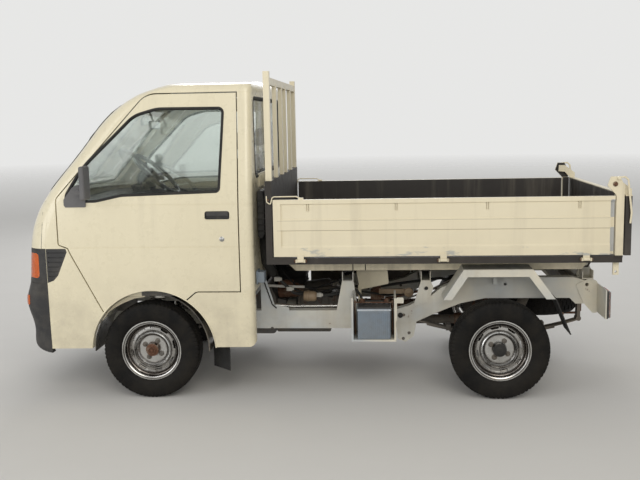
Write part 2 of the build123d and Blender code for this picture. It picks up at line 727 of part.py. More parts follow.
# Sub-frame: cross channels that the bed lies over, the bed's and the lift's pivots, and the battery cage
# columns: middle x, width, half length
channel_rows = ((-1080.0, 62.0, 466.0), (-1514.0, 54.0, 466.0))
channels = []
for mid_x, width, half in channel_rows:
    outer = box(mid_x - width / 2, mid_x + width / 2, -half, half, channel_low, channel_top)
    inside = width / 2 - channel_wall
    channels.append(outer - box(mid_x - inside, mid_x + inside, -beyond, beyond, channel_low + channel_wall, 700))
foot_z = rail_high + seat_gap
pedestal = side_prism([(-1048, channel_low), (-1112, channel_low), (-1135, foot_z), (-1015, foot_z)], 412, rail_outer)
rear_points = [(-1487, channel_low), (-1541, channel_low), (-1556, 578), (-1530, 500), (-1441, 462)]
rear_pedestal = side_prism(rear_points, rail_outer + seat_gap, rail_outer + 6)
rear_pedestal = rear_pedestal - rod_y(-1513, 572, 9, 0, beyond)
front_rest = joined([channels[0], *both_sides(pedestal)])
rear_rest = joined([channels[1], *both_sides(rear_pedestal)])

pivot_plate_y = bed_lug_y - 8.0
pivot_points = [(-45, 624), (-18, 722), (18, 722), (45, 624)]
pivot_plate = side_prism([(bed_pivot_x + x, z) for x, z in pivot_points], pivot_plate_y - 12, pivot_plate_y)
beam_half = rail_inner - seat_gap
pivot_beam = box(bed_pivot_x - 45, bed_pivot_x + 45, -beam_half, beam_half, 590 + seat_gap, 628)
pivot_pin = rod_y(bed_pivot_x, bed_pivot_z, bed_pin_radius, -402, 402)
end_channel = box(bed_pivot_x - 30, bed_pivot_x + 30, beam_half - 10, 466, 622, channel_top)
end_channel = end_channel - box(bed_pivot_x - 26, bed_pivot_x + 26, bed_lug_y - 20, beyond, 626, 700)
bed_hinge = joined([pivot_beam, pivot_pin, *both_sides(pivot_plate, end_channel)])

cradle_top = 535 - seat_gap
cradle_points = [(-2340, cradle_top), (-2305, cradle_top), (-2232, 452), (-2232, 410), (-2268, 410), (-2340, 500)]
cradle = side_prism(cradle_points, cradle_y, cradle_y + 10)
cradle_pin = rod_y(lift_base_x, lift_base_z, lift_pin_radius, -cradle_y - 10, cradle_y + 10)
lift_cradle = joined([cradle_pin, *both_sides(cradle)])

cage_front = -1107.0
cage_back = -1346.0
cage_low = 328.0
strip = 10.0
cage = joined([
    box(cage_back, cage_front, 472, 690, cage_low, cage_low + strip),
    box(cage_front - strip, cage_front, 472, 690, cage_low, 565),
    box(cage_back, cage_back + strip, 472, 690, cage_low, 565),
    box(cage_back, cage_front, rail_outer + seat_gap, 473, cage_low, 440),
])
save("subframe", front_rest, rear_rest, bed_hinge, lift_cradle, cage)
battery = box(-1316, -1140, 500, 684, cage_low + strip + seat_gap, 507)
save("battery_box", fillet(battery.edges(), 6))

# Wheel covers over the rear tyres, a folded sheet with a flange and a stay to the rail
cover_out = [(-1600, 543), (-1708, 707), (-2072, 707), (-2190, 546)]
cover_in = [(-2142, 546), (-2051, 667), (-1729, 667), (-1645, 543)]
cover_sheet = [(-2187, 546), (-2070, 704), (-1710, 704), (-1604, 543)]
wheel_cover = joined([
    side_prism(cover_out + cover_in, 634, 640),
    side_prism(cover_out + cover_sheet, cover_y, 640),
    box(-1900, -1880, rail_outer + seat_gap, 500, 600, 610),
    box(-1900, -1880, 490, 500, 600, 705),
])
save("wheel_covers", *both_sides(wheel_cover))

# Rear axle: tube, differential, back plates and stubs, with the propeller shaft
shaft_z = 290.0
axle = joined([
    rod_y(rear_axle_x, axle_height, 32, -plate_y, plate_y),
    Pos(*at(rear_axle_x, 0, axle_height)) * Sphere(105),
    rod_x(0, shaft_z, 40, rear_axle_x + 60, rear_axle_x + 130),
    *both_sides(
        rod_y(rear_axle_x, axle_height, stub_radius, plate_y - 10, stub_end),
        rod_y(rear_axle_x, axle_height, drum_radius + 2, plate_y, plate_y + plate_thick),
    ),
])
engine_rear = -960.0
shaft = rod_x(0, shaft_z, 28, rear_axle_x + 130 + seat_gap, engine_rear - seat_gap)
save("rear_axle", axle, shaft)

# Engine block on its two mounts, exhaust, fuel tank, hydraulic tank
engine_points = [(-150, 330), (-150, 560), (-600, 560), (-640, 470), (-640, 250), (-220, 250)]
gearbox_points = [(-630, 240), (-630, 450), (-692, 430), (-692, 343), (engine_rear, 335), (engine_rear, 240)]
engine_half = 205.0
gearbox_half = 120.0
engine_mount = box(-320, -270, engine_half - 5, front_rail_inner - seat_gap, 360, 410)
engine_block = side_prism(engine_points, -engine_half, engine_half, 25)
gearbox = side_prism(gearbox_points, -gearbox_half, gearbox_half, 12)
save("engine", joined([engine_block, gearbox, *both_sides(engine_mount)]))
pipe_y = -engine_half - 20 - seat_gap
muffler = fillet(box(-1420, -960, -330, -170, 225, 335).edges().filter_by(Axis.X), 45)
save("exhaust", muffler + rod_x(pipe_y, 290, 20, -980, -500) + rod_x(pipe_y, 280, 20, -1560, -1400))
save("fuel_tank", fillet(box(-1300, -790, -640, -rail_outer - seat_gap, 335, 575).edges(), 20))
tank = joined([
    side_prism([(-1145, 543), (-1124, 655), (-1302, 655), (-1309, 577)], 230, 345, 10),
    box(-1150, -1134, 236, 340, 440 + seat_gap, 570),
    box(-1136, -1030, 260, 300, 440 + seat_gap, 450),
])
save("hydraulic_tank", tank)

# Tail lamps and mud flaps
lamp_face = frame_rear - seat_gap
save("tail_lamps", *both_sides(fillet(box(-2476, lamp_face, 505, 650, 440, 590).edges(), 6)))
flap_x = -liner_out - seat_gap
front_flap = plan_prism([(flap_x, 540), (flap_x - 6, 540), (-436, liner_outer_y), (-430, liner_outer_y)], 150, 285)
front_flap = front_flap + box(flap_x - 6, flap_x, 480, 541, 262, 285)
rear_flap = side_prism([(-2189.1, 549), (-2195.1, 549), (-2276, 352), (-2270, 352)], cover_y, liner_outer_y)
save("mud_flaps", *both_sides(front_flap, rear_flap))

# Dump bed: floor sheet, edge rails, ribs, stringers, rear posts with ears, hook plates, hinges
stringer_points = [(-705, 756), (-790, stringer_low), (-2360, stringer_low), (-2440, 756)]
rib_xs = (-730.0, -960.0, -1240.0, -1500.0, -1720.0, -1950.0, -2200.0, -2400.0, -2490.0)
hinge_xs = (-842.0, -1596.0, -2330.0)
hinge_half = 26.0
ear_points = [
    (bed_rear, 1095), (bed_rear, 1150), (-2490, 1196), (-2446, 1196), (-2430, 1150),
    (post_front, 1101), (post_front, 1095),
]
lug_points = [(28, 0), (28, 56), (-28, 56), (-28, 0), (-14, -25), (14, -25)]
lift_ear_points = [(-40, 66), (-20, -20), (20, -20), (40, 66)]
wall_face = bed_front - bed_wall_front
bed_pieces = [
    box(bed_rear, wall_face - 1.5, -deck_half, deck_half, bed_floor_top - 4, bed_floor_top),
    box(wall_face, bed_front, -bed_half, bed_half, bed_floor_low, bed_edge_top),
]
for rib_x in rib_xs:
    bed_pieces.append(box(rib_x - 20, rib_x + 20, 10 - bed_half, bed_half - 10, bed_floor_low, bed_edge_top))
bed_pieces.extend(both_sides(
    box(bed_rear, bed_front, bed_half - 30, bed_half, bed_floor_low, bed_edge_top),
    side_prism(stringer_points, stringer_y, stringer_y + 55),
    box(bed_rear, post_front, 652, 696, bed_floor_top - 10, 1101),
    side_prism(ear_points, 684, 696),
    box(-2504, -2474, 655, 667, 681, 770),
    side_prism([(bed_pivot_x + x, bed_pivot_z + z) for x, z in lug_points], bed_lug_y, bed_lug_y + bed_lug_thick),
    side_prism([(lift_eye_x + x, lift_eye_z + z) for x, z in lift_ear_points], 26, 38),
))
for hinge_x in hinge_xs:
    for plate_x in (hinge_x - hinge_half, hinge_x + hinge_half - hinge_plate):
        bed_pieces.extend(both_sides(box(plate_x, plate_x + hinge_plate, bed_half - 2, 712, 762, 778)))
bed_floor = joined(bed_pieces)
bed_floor = bed_floor - rod_y(bed_pivot_x, bed_pivot_z, bed_pin_radius + running_gap, -500, 500)
bed_floor = bed_floor - rod_y(tail_hinge_x, tail_hinge_z, tail_pin_radius + running_gap, -beyond, beyond)
bed_floor = bed_floor - rod_y(hook_hole_x, hook_hole_z, hook_hole_radius, -beyond, beyond)
bed_floor = bed_floor + rod_y(lift_eye_x, lift_eye_z, lift_pin_radius, -38, 38)
for hinge_x in hinge_xs:
    pin = rod_x(gate_hinge_y, gate_hinge_z, gate_pin_radius, hinge_x - hinge_half, hinge_x + hinge_half)
    for side in both_sides(pin):
        bed_floor = bed_floor + side
save("bed_floor", bed_floor)

# Front wall with three shallow pressed fields on its front
front_wall = box(wall_face, bed_front, -bed_half, bed_half, bed_edge_top + seat_gap, front_wall_top)
field_depth = 6.0
field_half = 200.0
for middle_y in (-440.0, 0.0, 440.0):
    field = box(bed_front - field_depth, bed_front + 6, middle_y - field_half, middle_y + field_half, 820, 1140)
    front_wall = front_wall - fillet(field.edges().filter_by(Axis.X), 30)
save("bed_front_wall", front_wall)

# Guard frame on the front wall: posts, bars and a top rail
# columns: near y, far y, front x
guard_rows = ((620.0, 660.0, -660.0), (345.0, 380.0, -670.0), (80.0, 115.0, -670.0))
guard_pieces = [box(-690, -664, -650, 650, 1700, 1738)]
for near, far, front_x in guard_rows:
    top = guard_top if far > 600 else 1710
    guard_pieces.extend(both_sides(box(wall_face, front_x, near, far, front_wall_top + seat_gap, top)))
save("guard_frame", joined(guard_pieces))

# Side gates: pressed panel, front stile, rear strip, hook slots and hinge knuckles round the pins
gate_front = wall_face - 8
gate_back = post_front + 6
gate_outer = body_half_width
gate_band = 694.0
strip_front = -2449.0
strip_outer = 682.0
knuckle_radius = 8.0
knuckle_half = hinge_half - hinge_plate - 1.0
gate_profile = [
    (gate_outer, gate_top), (gate_outer, 1074), (gate_skin, 1070), (gate_skin, 993), (gate_band, 989),
    (gate_band, 933), (gate_skin, 929), (gate_skin, 852), (gate_outer, 842), (gate_outer, gate_low),
    (gate_inner, gate_low), (gate_inner, gate_top),
]
gate_panel = joined([
    front_prism(gate_profile, strip_front, gate_front),
    box(gate_back, strip_front + 1, gate_inner, strip_outer, gate_low, gate_top),
    box(gate_back, gate_front, gate_inner, gate_outer, 1074, gate_top),
    box(gate_front - 40, gate_front, gate_inner, gate_outer, gate_low, gate_top),
])
hook_slot_xs = (-885.0, -1350.0, -1823.0, -2293.0)
hook_low = 1035.0
hook_high = 1073.0
hook_width = 15.0
hook_depth = 13.0
for slot_x in hook_slot_xs:
    ends = (slot_x - hook_width / 2, slot_x + hook_width / 2)
    gate_panel = gate_panel - box(*ends, gate_outer - hook_depth, gate_outer + 5, hook_low, hook_high)
    gate_panel = gate_panel + rod_between((slot_x, 690, hook_low - 1), (slot_x, 690, hook_high + 2), 3)
gate_pieces = [gate_panel]
for hinge_x in hinge_xs:
    ends = (hinge_x - knuckle_half, hinge_x + knuckle_half)
    gate_pieces.append(rod_x(gate_hinge_y, gate_hinge_z, knuckle_radius, *ends))
    gate_pieces.append(box(*ends, gate_outer - 1, gate_hinge_y - 1, gate_hinge_z, 806))
gate = joined(gate_pieces) - rod_x(gate_hinge_y, gate_hinge_z, gate_pin_radius + running_gap, -2600, -600)
save("gate_left", gate)
save("gate_right", mirrored(gate))

# Tailgate hung from the ears by its two arms
tail_arm_y = 664.0
arm_back = rear_end + 1
arm_points = [
    (-2528, 1096), (arm_back, 1096), (arm_back, 1130), (-2490, 1180), (-2452, 1180), (-2450, 1140), (-2490, 1136),
]
tail_pieces = [box(rear_end, tail_front, -bed_half, bed_half, bed_floor_top, 1100)]
tail_pieces.extend(both_sides(
    side_prism(arm_points, tail_arm_y, tail_arm_y + 14),
    rod_y(tail_hinge_x, tail_hinge_z, tail_pin_radius, tail_arm_y, 700),
))
save("tailgate", joined(tail_pieces))

# Lift cylinder and rod, drawn along their own axis from the base pin
lift_angle = atan2(lift_eye_z - lift_base_z, lift_eye_x - lift_base_x)
lift_length = hypot(lift_eye_x - lift_base_x, lift_eye_z - lift_base_z)
lift_axis = (cos(lift_angle), 0, sin(lift_angle))
lift_plane = Plane(at(lift_base_x, 0, lift_base_z), x_dir=(0, 1, 0), z_dir=lift_axis)
gland = 22.0
gland_ring = Circle(barrel_radius) - Circle(lift_rod_radius + running_gap)
eye_radius = lift_pin_radius + lift_drift + 10.0
tube = extrude(lift_plane * Circle(barrel_radius), barrel_end)
tube = tube - extrude(lift_plane.offset(34) * Circle(barrel_bore), barrel_end)
base_boss = rod_y(lift_base_x, lift_base_z, 36, 1 - cradle_y, cradle_y - 1)
barrel = joined([tube, extrude(lift_plane.offset(barrel_end - gland) * gland_ring, gland), base_boss])
save("lift_cylinder", barrel - rod_y(lift_base_x, lift_base_z, lift_pin_radius + running_gap, -60, 60))
lift_rod = joined([
    extrude(lift_plane.offset(lift_rod_start) * Circle(lift_rod_radius), lift_length - lift_rod_start - eye_radius + 5),
    extrude(lift_plane.offset(lift_rod_start) * Circle(barrel_bore - running_gap), 30),
    rod_y(lift_eye_x, lift_eye_z, eye_radius, -18, 18),
])
save("lift_rod", lift_rod - rod_y(lift_eye_x, lift_eye_z, lift_pin_radius + lift_drift, -30, 30))
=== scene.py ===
import bpy
import bmesh
import math
from mathutils import Matrix, Vector
from mathutils.bvhtree import BVHTree


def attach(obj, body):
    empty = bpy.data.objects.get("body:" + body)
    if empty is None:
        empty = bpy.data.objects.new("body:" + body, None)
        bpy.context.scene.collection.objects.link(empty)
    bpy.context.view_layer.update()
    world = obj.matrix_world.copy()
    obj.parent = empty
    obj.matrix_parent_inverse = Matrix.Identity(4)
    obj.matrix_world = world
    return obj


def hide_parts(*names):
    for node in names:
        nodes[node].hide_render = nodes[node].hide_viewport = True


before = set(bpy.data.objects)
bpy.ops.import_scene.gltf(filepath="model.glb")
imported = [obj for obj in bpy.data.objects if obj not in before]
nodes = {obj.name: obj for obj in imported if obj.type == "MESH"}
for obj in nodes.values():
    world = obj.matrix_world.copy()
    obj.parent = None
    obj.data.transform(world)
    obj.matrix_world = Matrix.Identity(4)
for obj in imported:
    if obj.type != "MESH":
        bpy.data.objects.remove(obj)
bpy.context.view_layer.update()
scene = bpy.context.scene
scene.view_settings.view_transform = "Standard"
print("stage: frame loaded")

# Truck places are written in millimetres, X forward from the front axle, Y to the left, Z up
rowShift = 909.5  # from the front axle to the middle of the object's row
axleHigh, rearAxle = 268.0, -1900.0
sides = (("left", 1), ("right", -1))
boxFaces = [(0, 1, 3, 2), (4, 6, 7, 5), (0, 4, 5, 1), (2, 3, 7, 6), (0, 2, 6, 4), (1, 5, 7, 3)]


def spot(x, y, z):
    return Vector(((x + rowShift) / 1000, y / 1000, z / 1000))


# Camera, floor and lights
view = {
    "place": (-0.3859, 5.1791, 1.5160),
    "yaw": -0.0775,
    "pitch": 0.1401,
    "roll": -0.0194,
    "lens": 48.26,
    "sensor": 36,
    "farthest": 400,
}
light = {
    "skyLevel": 0.50,
    "backdrop": (0.80, 0.80, 0.79),
    "keyPower": 255.0,
    "keyTone": (1.0, 0.955, 0.87),
    "keyPlace": (-1.6, 7.5, 4.6),
    "keySize": 5.0,
    "fillPower": 110.0,
    "fillPlace": (5.0, 5.0, 2.4),
    "rimPower": 200.0,
    "rimPlace": (0.5, -6.5, 4.5),
    "softSize": 4.0,
    "aim": (0, 0, 0.7),
}
floorSize = {
    "radius": 60, "corners": 96, "tone": (0.66, 0.655, 0.64), "darker": 0.96, "grain": 3.0, "rough": 0.9,
    "fadeFrom": 5.0, "fadeTo": 30.0,
}


def makeCamera():
    yaw, pitch, roll = view["yaw"], view["pitch"], view["roll"]
    ahead = Vector((-math.sin(yaw) * math.cos(pitch), -math.cos(yaw) * math.cos(pitch), -math.sin(pitch)))
    right = ahead.cross(Vector((0, 0, 1))).normalized()
    up = right.cross(ahead)
    rolledRight = right * math.cos(roll) + up * math.sin(roll)
    rolledUp = -right * math.sin(roll) + up * math.cos(roll)
    camera = bpy.data.objects.new("photoCamera", bpy.data.cameras.new("photoCamera"))
    camera.data.lens = view["lens"]
    camera.data.sensor_width = view["sensor"]
    camera.data.clip_end = view["farthest"]
    turn = Matrix((rolledRight, rolledUp, -ahead)).transposed().to_4x4()
    camera.matrix_world = Matrix.Translation(view["place"]) @ turn
    scene.collection.objects.link(camera)
    scene.camera = camera


def makeLamp(name, place, power, size, tone=(1.0, 1.0, 1.0)):
    lamp = bpy.data.lights.new(name, "AREA")
    lamp.energy = power
    lamp.color = tone
    lamp.size = size
    holder = bpy.data.objects.new(name, lamp)
    holder.location = place
    aim = Vector(light["aim"]) - Vector(place)
    holder.rotation_euler = aim.to_track_quat("-Z", "Y").to_euler()
    scene.collection.objects.link(holder)


def makeSky():
    world = bpy.data.worlds.new("studioSky")
    scene.world = world
    world.use_nodes = True
    tree = world.node_tree
    tree.nodes.clear()
    out = tree.nodes.new("ShaderNodeOutputWorld")
    seen = tree.nodes.new("ShaderNodeBackground")
    lit = tree.nodes.new("ShaderNodeBackground")
    seen.inputs["Color"].default_value = (*light["backdrop"], 1)
    lit.inputs["Color"].default_value = (1.0, 0.99, 0.97, 1)
    lit.inputs["Strength"].default_value = light["skyLevel"]
    path = tree.nodes.new("ShaderNodeLightPath")
    share = path.outputs["Is Camera Ray"]
    for ray in ("Is Transmission Ray", "Is Glossy Ray"):
        either = tree.nodes.new("ShaderNodeMath")
        either.operation = "MAXIMUM"
        tree.links.new(share, either.inputs[0])
        tree.links.new(path.outputs[ray], either.inputs[1])
        share = either.outputs[0]
    mix = tree.nodes.new("ShaderNodeMixShader")
    tree.links.new(share, mix.inputs["Fac"])
    tree.links.new(lit.outputs[0], mix.inputs[1])
    tree.links.new(seen.outputs[0], mix.inputs[2])
    tree.links.new(mix.outputs[0], out.inputs["Surface"])


def makeFloor():
    mesh = bpy.data.meshes.new("studioFloor")
    count, radius = floorSize["corners"], floorSize["radius"]
    ring = [(radius * math.cos(a * 2 * math.pi / count), radius * math.sin(a * 2 * math.pi / count), 0)
            for a in range(count)]
    mesh.from_pydata(ring, [], [list(range(count))])
    floor = bpy.data.objects.new("studioFloor", mesh)
    scene.collection.objects.link(floor)
    material = bpy.data.materials.new("studioFloor")
    material.use_nodes = True
    tree = material.node_tree
    shader = tree.nodes["Principled BSDF"]
    shader.inputs["Roughness"].default_value = floorSize["rough"]
    place = tree.nodes.new("ShaderNodeTexCoord").outputs["Object"]
    grain = tree.nodes.new("ShaderNodeTexNoise")
    grain.inputs["Scale"].default_value = floorSize["grain"]
    tree.links.new(place, grain.inputs["Vector"])
    tone = tree.nodes.new("ShaderNodeMix")
    tone.data_type = "RGBA"
    tone.inputs[6].default_value = (*floorSize["tone"], 1)
    tone.inputs[7].default_value = (*[c * floorSize["darker"] for c in floorSize["tone"]], 1)
    tree.links.new(grain.outputs["Fac"], tone.inputs[0])
    tree.links.new(tone.outputs[2], shader.inputs["Base Color"])
    # the floor fades into the backdrop with its distance from the truck
    reach = tree.nodes.new("ShaderNodeVectorMath")
    reach.operation = "LENGTH"
    tree.links.new(place, reach.inputs[0])
    fade = tree.nodes.new("ShaderNodeMapRange")
    fade.inputs["From Min"].default_value = floorSize["fadeFrom"]
    fade.inputs["From Max"].default_value = floorSize["fadeTo"]
    tree.links.new(reach.outputs["Value"], fade.inputs["Value"])
    clear = tree.nodes.new("ShaderNodeBsdfTransparent")
    mix = tree.nodes.new("ShaderNodeMixShader")
    tree.links.new(fade.outputs[0], mix.inputs["Fac"])
    tree.links.new(shader.outputs[0], mix.inputs[1])
    tree.links.new(clear.outputs[0], mix.inputs[2])
    tree.links.new(mix.outputs[0], tree.nodes["Material Output"].inputs["Surface"])
    mesh.materials.append(material)


makeCamera()
makeSky()
makeFloor()
makeLamp("keyLamp", light["keyPlace"], light["keyPower"], light["keySize"], light["keyTone"])
makeLamp("fillLamp", light["fillPlace"], light["fillPower"], light["softSize"])
makeLamp("backLamp", light["rimPlace"], light["rimPower"], light["softSize"])
print("stage: camera, floor and lights")


# Finishes: small steps that every material below is put together from
class Finish:
    def __init__(self, name):
        self.material = bpy.data.materials.new(name)
        self.material.use_nodes = True
        self.tree = self.material.node_tree
        self.shader = self.tree.nodes["Principled BSDF"]
        coords = self.tree.nodes.new("ShaderNodeTexCoord")
        self.place = coords.outputs["Object"]
        self.facing = coords.outputs["Normal"]

    def feed(self, value, socket):
        if isinstance(value, bpy.types.NodeSocket):
            self.tree.links.new(value, socket)
        elif isinstance(value, (tuple, list)) and len(value) == 3 and socket.type == "RGBA":
            socket.default_value = (*value, 1)
        else:
            socket.default_value = value

    def stretch(self, scale):
        mapping = self.tree.nodes.new("ShaderNodeMapping")
        mapping.inputs["Scale"].default_value = scale
        self.feed(self.place, mapping.inputs["Vector"])
        return mapping.outputs["Vector"]

    def cloud(self, scale, detail=4.0, rough=0.55, where=None, distort=0.0):
        node = self.tree.nodes.new("ShaderNodeTexNoise")
        node.inputs["Scale"].default_value = scale
        node.inputs["Detail"].default_value = detail
        node.inputs["Roughness"].default_value = rough
        node.inputs["Distortion"].default_value = distort
        self.feed(where or self.place, node.inputs["Vector"])
        return node.outputs["Fac"]

    def spread(self, value, low, high, start=0.0, end=1.0):
        node = self.tree.nodes.new("ShaderNodeMapRange")
        self.feed(value, node.inputs["Value"])
        for key, number in (("From Min", low), ("From Max", high), ("To Min", start), ("To Max", end)):
            node.inputs[key].default_value = number
        return node.outputs["Result"]

    def maths(self, kind, first, second=0.0):
        node = self.tree.nodes.new("ShaderNodeMath")
        node.operation = kind
        self.feed(first, node.inputs[0])
        self.feed(second, node.inputs[1])
        return node.outputs[0]

    def times(self, first, second):
        return self.maths("MULTIPLY", first, second)

    def larger(self, first, second):
        return self.maths("MAXIMUM", first, second)

    def without(self, value):
        return self.maths("SUBTRACT", 1.0, value)

    def tint(self, share, first, second):
        node = self.tree.nodes.new("ShaderNodeMix")
        node.data_type = "RGBA"
        self.feed(share, node.inputs[0])
        self.feed(first, node.inputs[6])
        self.feed(second, node.inputs[7])
        return node.outputs[2]

    def axis(self, index, source=None):
        node = self.tree.nodes.new("ShaderNodeSeparateXYZ")
        self.feed(source or self.place, node.inputs[0])
        return node.outputs[index]

    def within(self, **limits):
        # 1 inside the given metre limits, such as lowX, highX, lowZ; sideLowY and sideHighY take Y unsigned
        mask = 1.0
        for key, number in limits.items():
            index = "XYZ".index(key[-1])
            value = self.axis(index)
            if key.startswith("side"):
                value = self.maths("ABSOLUTE", value)
            test = "LESS_THAN" if "high" in key.lower() else "GREATER_THAN"
            hit = self.maths(test, value, number)
            mask = hit if mask == 1.0 else self.times(mask, hit)
        return mask

    def relief(self, height, strength, distance=0.001):
        node = self.tree.nodes.new("ShaderNodeBump")
        node.inputs["Strength"].default_value = strength
        node.inputs["Distance"].default_value = distance
        self.feed(height, node.inputs["Height"])
        self.feed(node.outputs["Normal"], self.shader.inputs["Normal"])

    def put(self, **values):
        names = {
            "colour": "Base Color", "rough": "Roughness", "metal": "Metallic", "coat": "Coat Weight",
            "coatRough": "Coat Roughness", "sheen": "Sheen Weight", "through": "Transmission Weight",
            "ior": "IOR", "alpha": "Alpha", "shine": "Specular IOR Level", "sheenRough": "Sheen Roughness",
        }
        for key, value in values.items():
            self.feed(value, self.shader.inputs[names[key]])


def weathered(name, look, extra=None):
    # Paint or bare metal with patches, streaks, dust from below and rust
    finish = Finish(name)
    patch = finish.cloud(look["patchScale"], 5)
    colour = finish.tint(finish.spread(patch, 0.35, 0.68), look["colour"], look["darker"])
    if extra:
        colour = extra(finish, colour)
    streak = finish.cloud(look["streakScale"], 4, 0.6, finish.stretch((1, 1, 0.06)))
    streakMask = finish.spread(streak, 0.52, 0.75, 0, look["streaks"])
    colour = finish.tint(streakMask, colour, look["dirt"])
    low = finish.spread(finish.axis(2), look["dustTop"], look["dustTop"] - 0.35)
    dust = finish.times(low, finish.spread(finish.cloud(7, 8, 0.65), 0.38, 0.66, 0, look["dust"]))
    colour = finish.tint(dust, colour, look["dirt"])
    speck = finish.cloud(look["rustScale"], 9, 0.72)
    rust = finish.spread(speck, 0.74 - look["rust"], 0.78 - look["rust"])
    rustTone = finish.tint(finish.cloud(90, 4), (0.15, 0.062, 0.030), (0.07, 0.034, 0.020))
    colour = finish.tint(rust, colour, rustTone)
    rough = finish.spread(finish.cloud(24, 6), 0.3, 0.75, look["rough"] - 0.07, look["rough"] + 0.1)
    rough = finish.larger(rough, finish.times(finish.larger(rust, dust), 0.8))
    metal = finish.times(finish.without(rust), look["metal"]) if look["metal"] else 0.0
    finish.put(colour=colour, rough=rough, metal=metal, coat=look["coat"], coatRough=0.12)
    height = finish.maths("ADD", finish.times(finish.cloud(look["grain"], 3), 0.4), rust)
    finish.relief(height, look["bump"], 0.0006)
    return finish.material


def moulded(name, look):
    # Plastic or rubber with a fine grain and chalky faded patches
    finish = Finish(name)
    patch = finish.cloud(look["patchScale"], 6)
    colour = finish.tint(finish.spread(patch, 0.35, 0.7), look["colour"], look["faded"])
    dust = finish.times(finish.spread(finish.cloud(11, 8, 0.7), 0.42, 0.68), look["dust"])
    colour = finish.tint(dust, colour, look["dirt"])
    scratch = finish.cloud(60, 3, 0.5, finish.stretch((1, 1, 7)))
    rough = finish.maths("ADD", finish.spread(scratch, 0.35, 0.7, -0.05, 0.08), look["rough"])
    finish.put(colour=colour, rough=rough, shine=look["shine"])
    finish.relief(finish.cloud(look["grain"], 2, 0.6), look["bump"], 0.0005)
    return finish.material


bodyLook = {
    "colour": (0.745, 0.685, 0.51), "darker": (0.70, 0.64, 0.47), "dirt": (0.36, 0.32, 0.25), "patchScale": 1.6,
    "streakScale": 14.0, "streaks": 0.16, "dustTop": 0.75, "dust": 0.42, "rustScale": 7.0, "rust": 0.005,
    "rough": 0.30, "metal": 0.0, "coat": 0.35, "grain": 260.0, "bump": 0.12,
}
gateLook = {**bodyLook, "colour": (0.755, 0.69, 0.52), "darker": (0.71, 0.64, 0.47), "streaks": 0.2, "rough": 0.42,
            "coat": 0.12, "dustTop": 0.95, "dust": 0.3, "rust": 0.015}
# the rail finish's darker tone is blue-grey, so its patches are painted shade over the cream paint
railShadeBlueLook = {**bodyLook, "colour": (0.64, 0.60, 0.49), "darker": (0.43, 0.46, 0.48), "streaks": 0.35, "rough": 0.5,
            "coat": 0.0, "dustTop": 0.62, "dust": 0.65, "rust": 0.07, "patchScale": 2.6}
bedLook = {**bodyLook, "colour": (0.011, 0.009, 0.008), "darker": (0.024, 0.019, 0.015),
           "dirt": (0.055, 0.044, 0.033), "streaks": 0.3, "rough": 0.6, "coat": 0.0, "dustTop": 1.1, "dust": 0.3,
           "rust": 0.05, "rustScale": 11.0}
underLook = {**bedLook, "colour": (0.05, 0.045, 0.04), "darker": (0.09, 0.075, 0.06), "dirt": (0.16, 0.135, 0.105),
             "rust": 0.14, "dust": 0.8, "rough": 0.65}
wheelLook = {**bodyLook, "colour": (0.66, 0.66, 0.65), "darker": (0.50, 0.50, 0.49), "dirt": (0.13, 0.11, 0.09),
             "patchScale": 9.0, "streaks": 0.25, "dustTop": 0.6, "dust": 0.4, "rust": 0.055, "rustScale": 16.0,
             "rough": 0.24, "metal": 0.95, "coat": 0.0}
ironLook = {**underLook, "colour": (0.16, 0.155, 0.15), "darker": (0.08, 0.075, 0.07), "metal": 0.5, "rough": 0.6}
rustyLook = {**underLook, "colour": (0.22, 0.13, 0.08), "darker": (0.12, 0.07, 0.045), "rust": 0.3, "metal": 0.35}
rodLook = {**wheelLook, "colour": (0.55, 0.55, 0.54), "darker": (0.4, 0.4, 0.39), "rough": 0.25, "metal": 1.0,
           "rust": 0.02}
trimLook = {
    "colour": (0.020, 0.020, 0.021), "faded": (0.045, 0.045, 0.047), "dirt": (0.15, 0.135, 0.11),
    "patchScale": 3.0, "dust": 0.25, "rough": 0.55, "shine": 0.4, "grain": 900.0, "bump": 0.35,
}
rubberLook = {**trimLook, "colour": (0.012, 0.012, 0.012), "faded": (0.03, 0.03, 0.03), "rough": 0.7, "dust": 0.12,
              "shine": 0.25, "bump": 0.15}
mirrorLook = {**bodyLook, "colour": (0.80, 0.80, 0.80), "darker": (0.74, 0.74, 0.74), "streaks": 0.05,
              "dust": 0.05, "rust": -0.2, "rough": 0.13, "metal": 1.0, "coat": 0.0, "bump": 0.02}
plateLook = {**bodyLook, "colour": (0.74, 0.66, 0.30), "darker": (0.68, 0.60, 0.27), "rough": 0.45, "coat": 0.0,
             "streaks": 0.25, "rust": -0.2}
tyreLook = {**trimLook, "colour": (0.006, 0.006, 0.006), "faded": (0.014, 0.013, 0.012), "dust": 0.3,
            "rough": 0.66, "dirt": (0.036, 0.030, 0.022), "shine": 0.12, "patchScale": 6.0, "bump": 0.3}
tapeLook = {**rubberLook, "colour": (0.02, 0.02, 0.02), "faded": (0.05, 0.05, 0.048), "grain": 420.0}
dashLook = {**trimLook, "colour": (0.10, 0.10, 0.105), "faded": (0.14, 0.14, 0.145), "dust": 0.1, "rough": 0.6}
# blue-grey that paints shade on the battery case and on the box behind the cab
batteryShadeBlueLook = {**trimLook, "colour": (0.16, 0.20, 0.25), "faded": (0.22, 0.26, 0.30), "dust": 0.4, "rough": 0.5}
paleLook = {**trimLook, "colour": (0.55, 0.54, 0.50), "faded": (0.45, 0.44, 0.40), "dust": 0.3, "rough": 0.5}
# pale blue that paints shade on the battery's white rim
paleRimShadeBlueLook = {**batteryShadeBlueLook, "colour": (0.42, 0.47, 0.52), "faded": (0.5, 0.54, 0.57)}
brownIronLook = {**paleLook, "colour": (0.30, 0.22, 0.14), "faded": (0.20, 0.145, 0.09),
                 "dirt": (0.10, 0.08, 0.06)}


